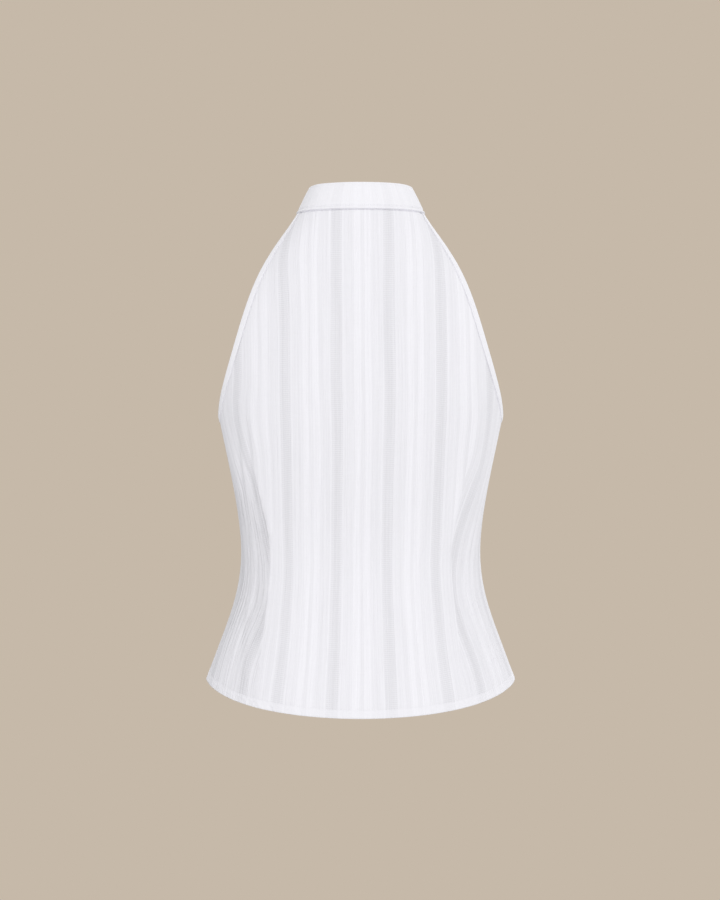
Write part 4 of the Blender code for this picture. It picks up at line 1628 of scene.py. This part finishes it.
def buttonhole_paths():
    """The worked edge of each buttonhole: upright down the front, level on the collar."""
    turn = np.linspace(0.0, 2 * HALF_TURN, 160)
    long_way = np.clip(1.25 * np.cos(turn), -1.0, 1.0) * BUTTONHOLE_HALF_LENGTH
    short_way = np.clip(3.0 * np.sin(turn), -1.0, 1.0) * BUTTONHOLE_HALF_WIDTH
    paths = []
    for label, level, _ in button_places():
        if label == "collar":
            angles = HALF_TURN - (COLLAR_BUTTONHOLE_ASIDE + long_way) / collar_overlap()[1]
            points, normal, along = path_on(collar_surface, angles, level + short_way)
        else:
            levels = level + BUTTONHOLE_LIFT + long_way
            angles = HALF_TURN - short_way / read_table(FORM, levels)[0]
            points, normal, along = path_on(front_surface, angles, levels, 1)
        paths.append((points, normal, np.cross(normal, along)))
    return paths


def make_stitches(thread):
    """The rows of stitches, whose drops of thread lie along their rows, and the buttonholes, whose
    drops lie across theirs."""
    tree = stitch_tree()
    row = (STITCH_LENGTH + STITCH_GAP, STITCH_LENGTH, STITCH_WIDTH, STITCH_HEIGHT)
    sewn = (
        ("hem_stitches", hem_paths(), row),
        ("collar_stitches", collar_paths(), row),
        ("binding_stitches_right", binding_paths(1), row),
        ("binding_stitches_left", binding_paths(-1), row),
        ("placket_stitches", placket_paths(), row),
        ("buttonhole_stitches", buttonhole_paths(), BUTTONHOLE_STITCHES),
    )
    made = []
    for seed, (name, paths, sizes) in enumerate(sewn, 1):
        made.append(stitched(name, tree, paths, thread, sizes, seed))
    return made


def make_stage():
    """A pale floor that curves up into its walls, one even colour all over, in metres."""
    radius = 6.0
    top = 6.0
    floor = -1.3
    curve = 1.5
    profile = [(0.0, floor), (radius - curve, floor)]
    for t in np.linspace(0.0, QUARTER, 12)[1:]:
        profile.append((radius - curve + curve * math.sin(t), floor + curve - curve * math.cos(t)))
    profile.append((radius, top))
    mesh = spun_mesh("studio_floor", profile, 64)
    material, tree, shader = new_material("studio_paper")
    tree.nodes.remove(shader)
    glow = add_node(tree, "ShaderNodeEmission", {"Color": BACKDROP, "Strength": 1.0})
    connect(tree, tree.nodes["Material Output"], {"Surface": glow.outputs[0]})
    stage = add_object("studio_floor", mesh, material)
    stage.visible_diffuse = False
    stage.visible_glossy = False
    stage.visible_transmission = False
    stage.visible_shadow = False


def aim(obj, place, target):
    """Puts a camera or a light at a place, looking at a target."""
    obj.location = place
    direction = np.array(target) - np.array(place)
    flat = math.hypot(direction[0], direction[1])
    obj.rotation_euler = (
        math.atan2(flat, -direction[2]),
        0.0,
        math.atan2(-direction[0], direction[1]),
    )


def make_camera():
    """The photograph's view: from behind the wearer and a little above."""
    camera = bpy.data.cameras.new("photo_camera")
    camera.lens = CAMERA_LENS
    camera.clip_end = 50.0
    obj = new_object("photo_camera", camera)
    rise = math.radians(CAMERA_ELEVATION)
    place = (
        CAMERA_ASIDE,
        -CAMERA_DISTANCE * math.cos(rise),
        CAMERA_TARGET + CAMERA_DISTANCE * math.sin(rise),
    )
    aim(obj, place, (CAMERA_ASIDE, 0.0, CAMERA_TARGET))
    bpy.context.scene.camera = obj


def make_sky():
    """A room with soft light from all round, brightest behind the camera and on its right."""
    world = bpy.data.worlds.new("studio_light")
    bpy.context.scene.world = world
    world.use_nodes = True
    tree = world.node_tree
    direction = add_node(tree, "ShaderNodeTexCoord").outputs["Generated"]
    sockets = {0: direction, 1: SKY_LEAN}
    lean = add_node(tree, "ShaderNodeVectorMath", sockets, operation="DOT_PRODUCT").outputs["Value"]
    parts = add_node(tree, "ShaderNodeSeparateXYZ", {0: direction}).outputs
    level = calculate(tree, "ADD", lean, SKY_STRENGTH)
    for first, second, most in (("X", "Y", SKY_CROSS_XY), ("Y", "Z", SKY_CROSS_YZ)):
        product = calculate(tree, "MULTIPLY", parts[first], parts[second])
        level = calculate(tree, "MULTIPLY_ADD", product, most, level)
    connect(tree, tree.nodes["Background"], {"Strength": level, "Color": (1.0, 1.0, 1.0, 1.0)})


def make_front_light():
    """A wide soft light on the garment's front, which the camera doesn't see in the photograph."""
    light = bpy.data.lights.new("front_light", "SUN")
    light.energy = FRONT_LIGHT_STRENGTH
    light.angle = math.radians(FRONT_LIGHT_SPREAD)
    obj = new_object("front_light", light)
    aim(obj, FRONT_LIGHT_PLACE, (0.0, 0.0, 0.0))
    obj.visible_camera = False


def make_light():
    make_sky()
    make_front_light()
    view = bpy.context.scene.view_settings
    view.view_transform = "Standard"
    view.look = "None"


def dress():
    """Makes every piece, rides it on the body and hides the solid that it stands for."""
    groups = {"stripes": woven_stripes(), "weave": plain_weave()}
    back_cotton = cloth_material("striped_cotton", CLOTH_WHITE, groups, 1.0, 0.0, HEM_DEPTH)
    front_cotton = cloth_material("front_cotton", CLOTH_WHITE, groups, 1.0, FRONT_OVERLAP, HEM_DEPTH)
    collar_cotton = cloth_material("collar_cotton", COLLAR_WHITE, groups, 0.3, 0.0, -1.0)
    binding_cotton = plain_material("binding_cotton", BINDING_WHITE, groups, 0.4)
    thread = thread_material()
    shell = shell_material()

    back = make_back(back_cotton)
    right = make_front("front_cloth_right", 1, front_cotton)
    left = make_front("front_cloth_left", -1, front_cotton)
    collar = make_collar(collar_cotton)
    binding_right = make_binding("binding_right", 1, binding_cotton)
    binding_left = make_binding("binding_left", -1, binding_cotton)
    stands_for = (
        (back, "back_panel", "striped_cloth"),
        (right, "front_right", "striped_cloth"),
        (left, "front_left", "striped_cloth"),
        (collar, "collar", "collar_cloth"),
        (binding_right, "armhole_binding_right", "binding_cloth"),
        (binding_left, "armhole_binding_left", "binding_cloth"),
    )
    for piece, node, slot in stands_for:
        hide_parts(node)
    stitches = make_stitches(thread)
    buttons = make_buttons(shell, thread)
    for piece in [row[0] for row in stands_for] + stitches + buttons:
        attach(piece, "root")


make_camera()
make_light()
make_stage()
dress()
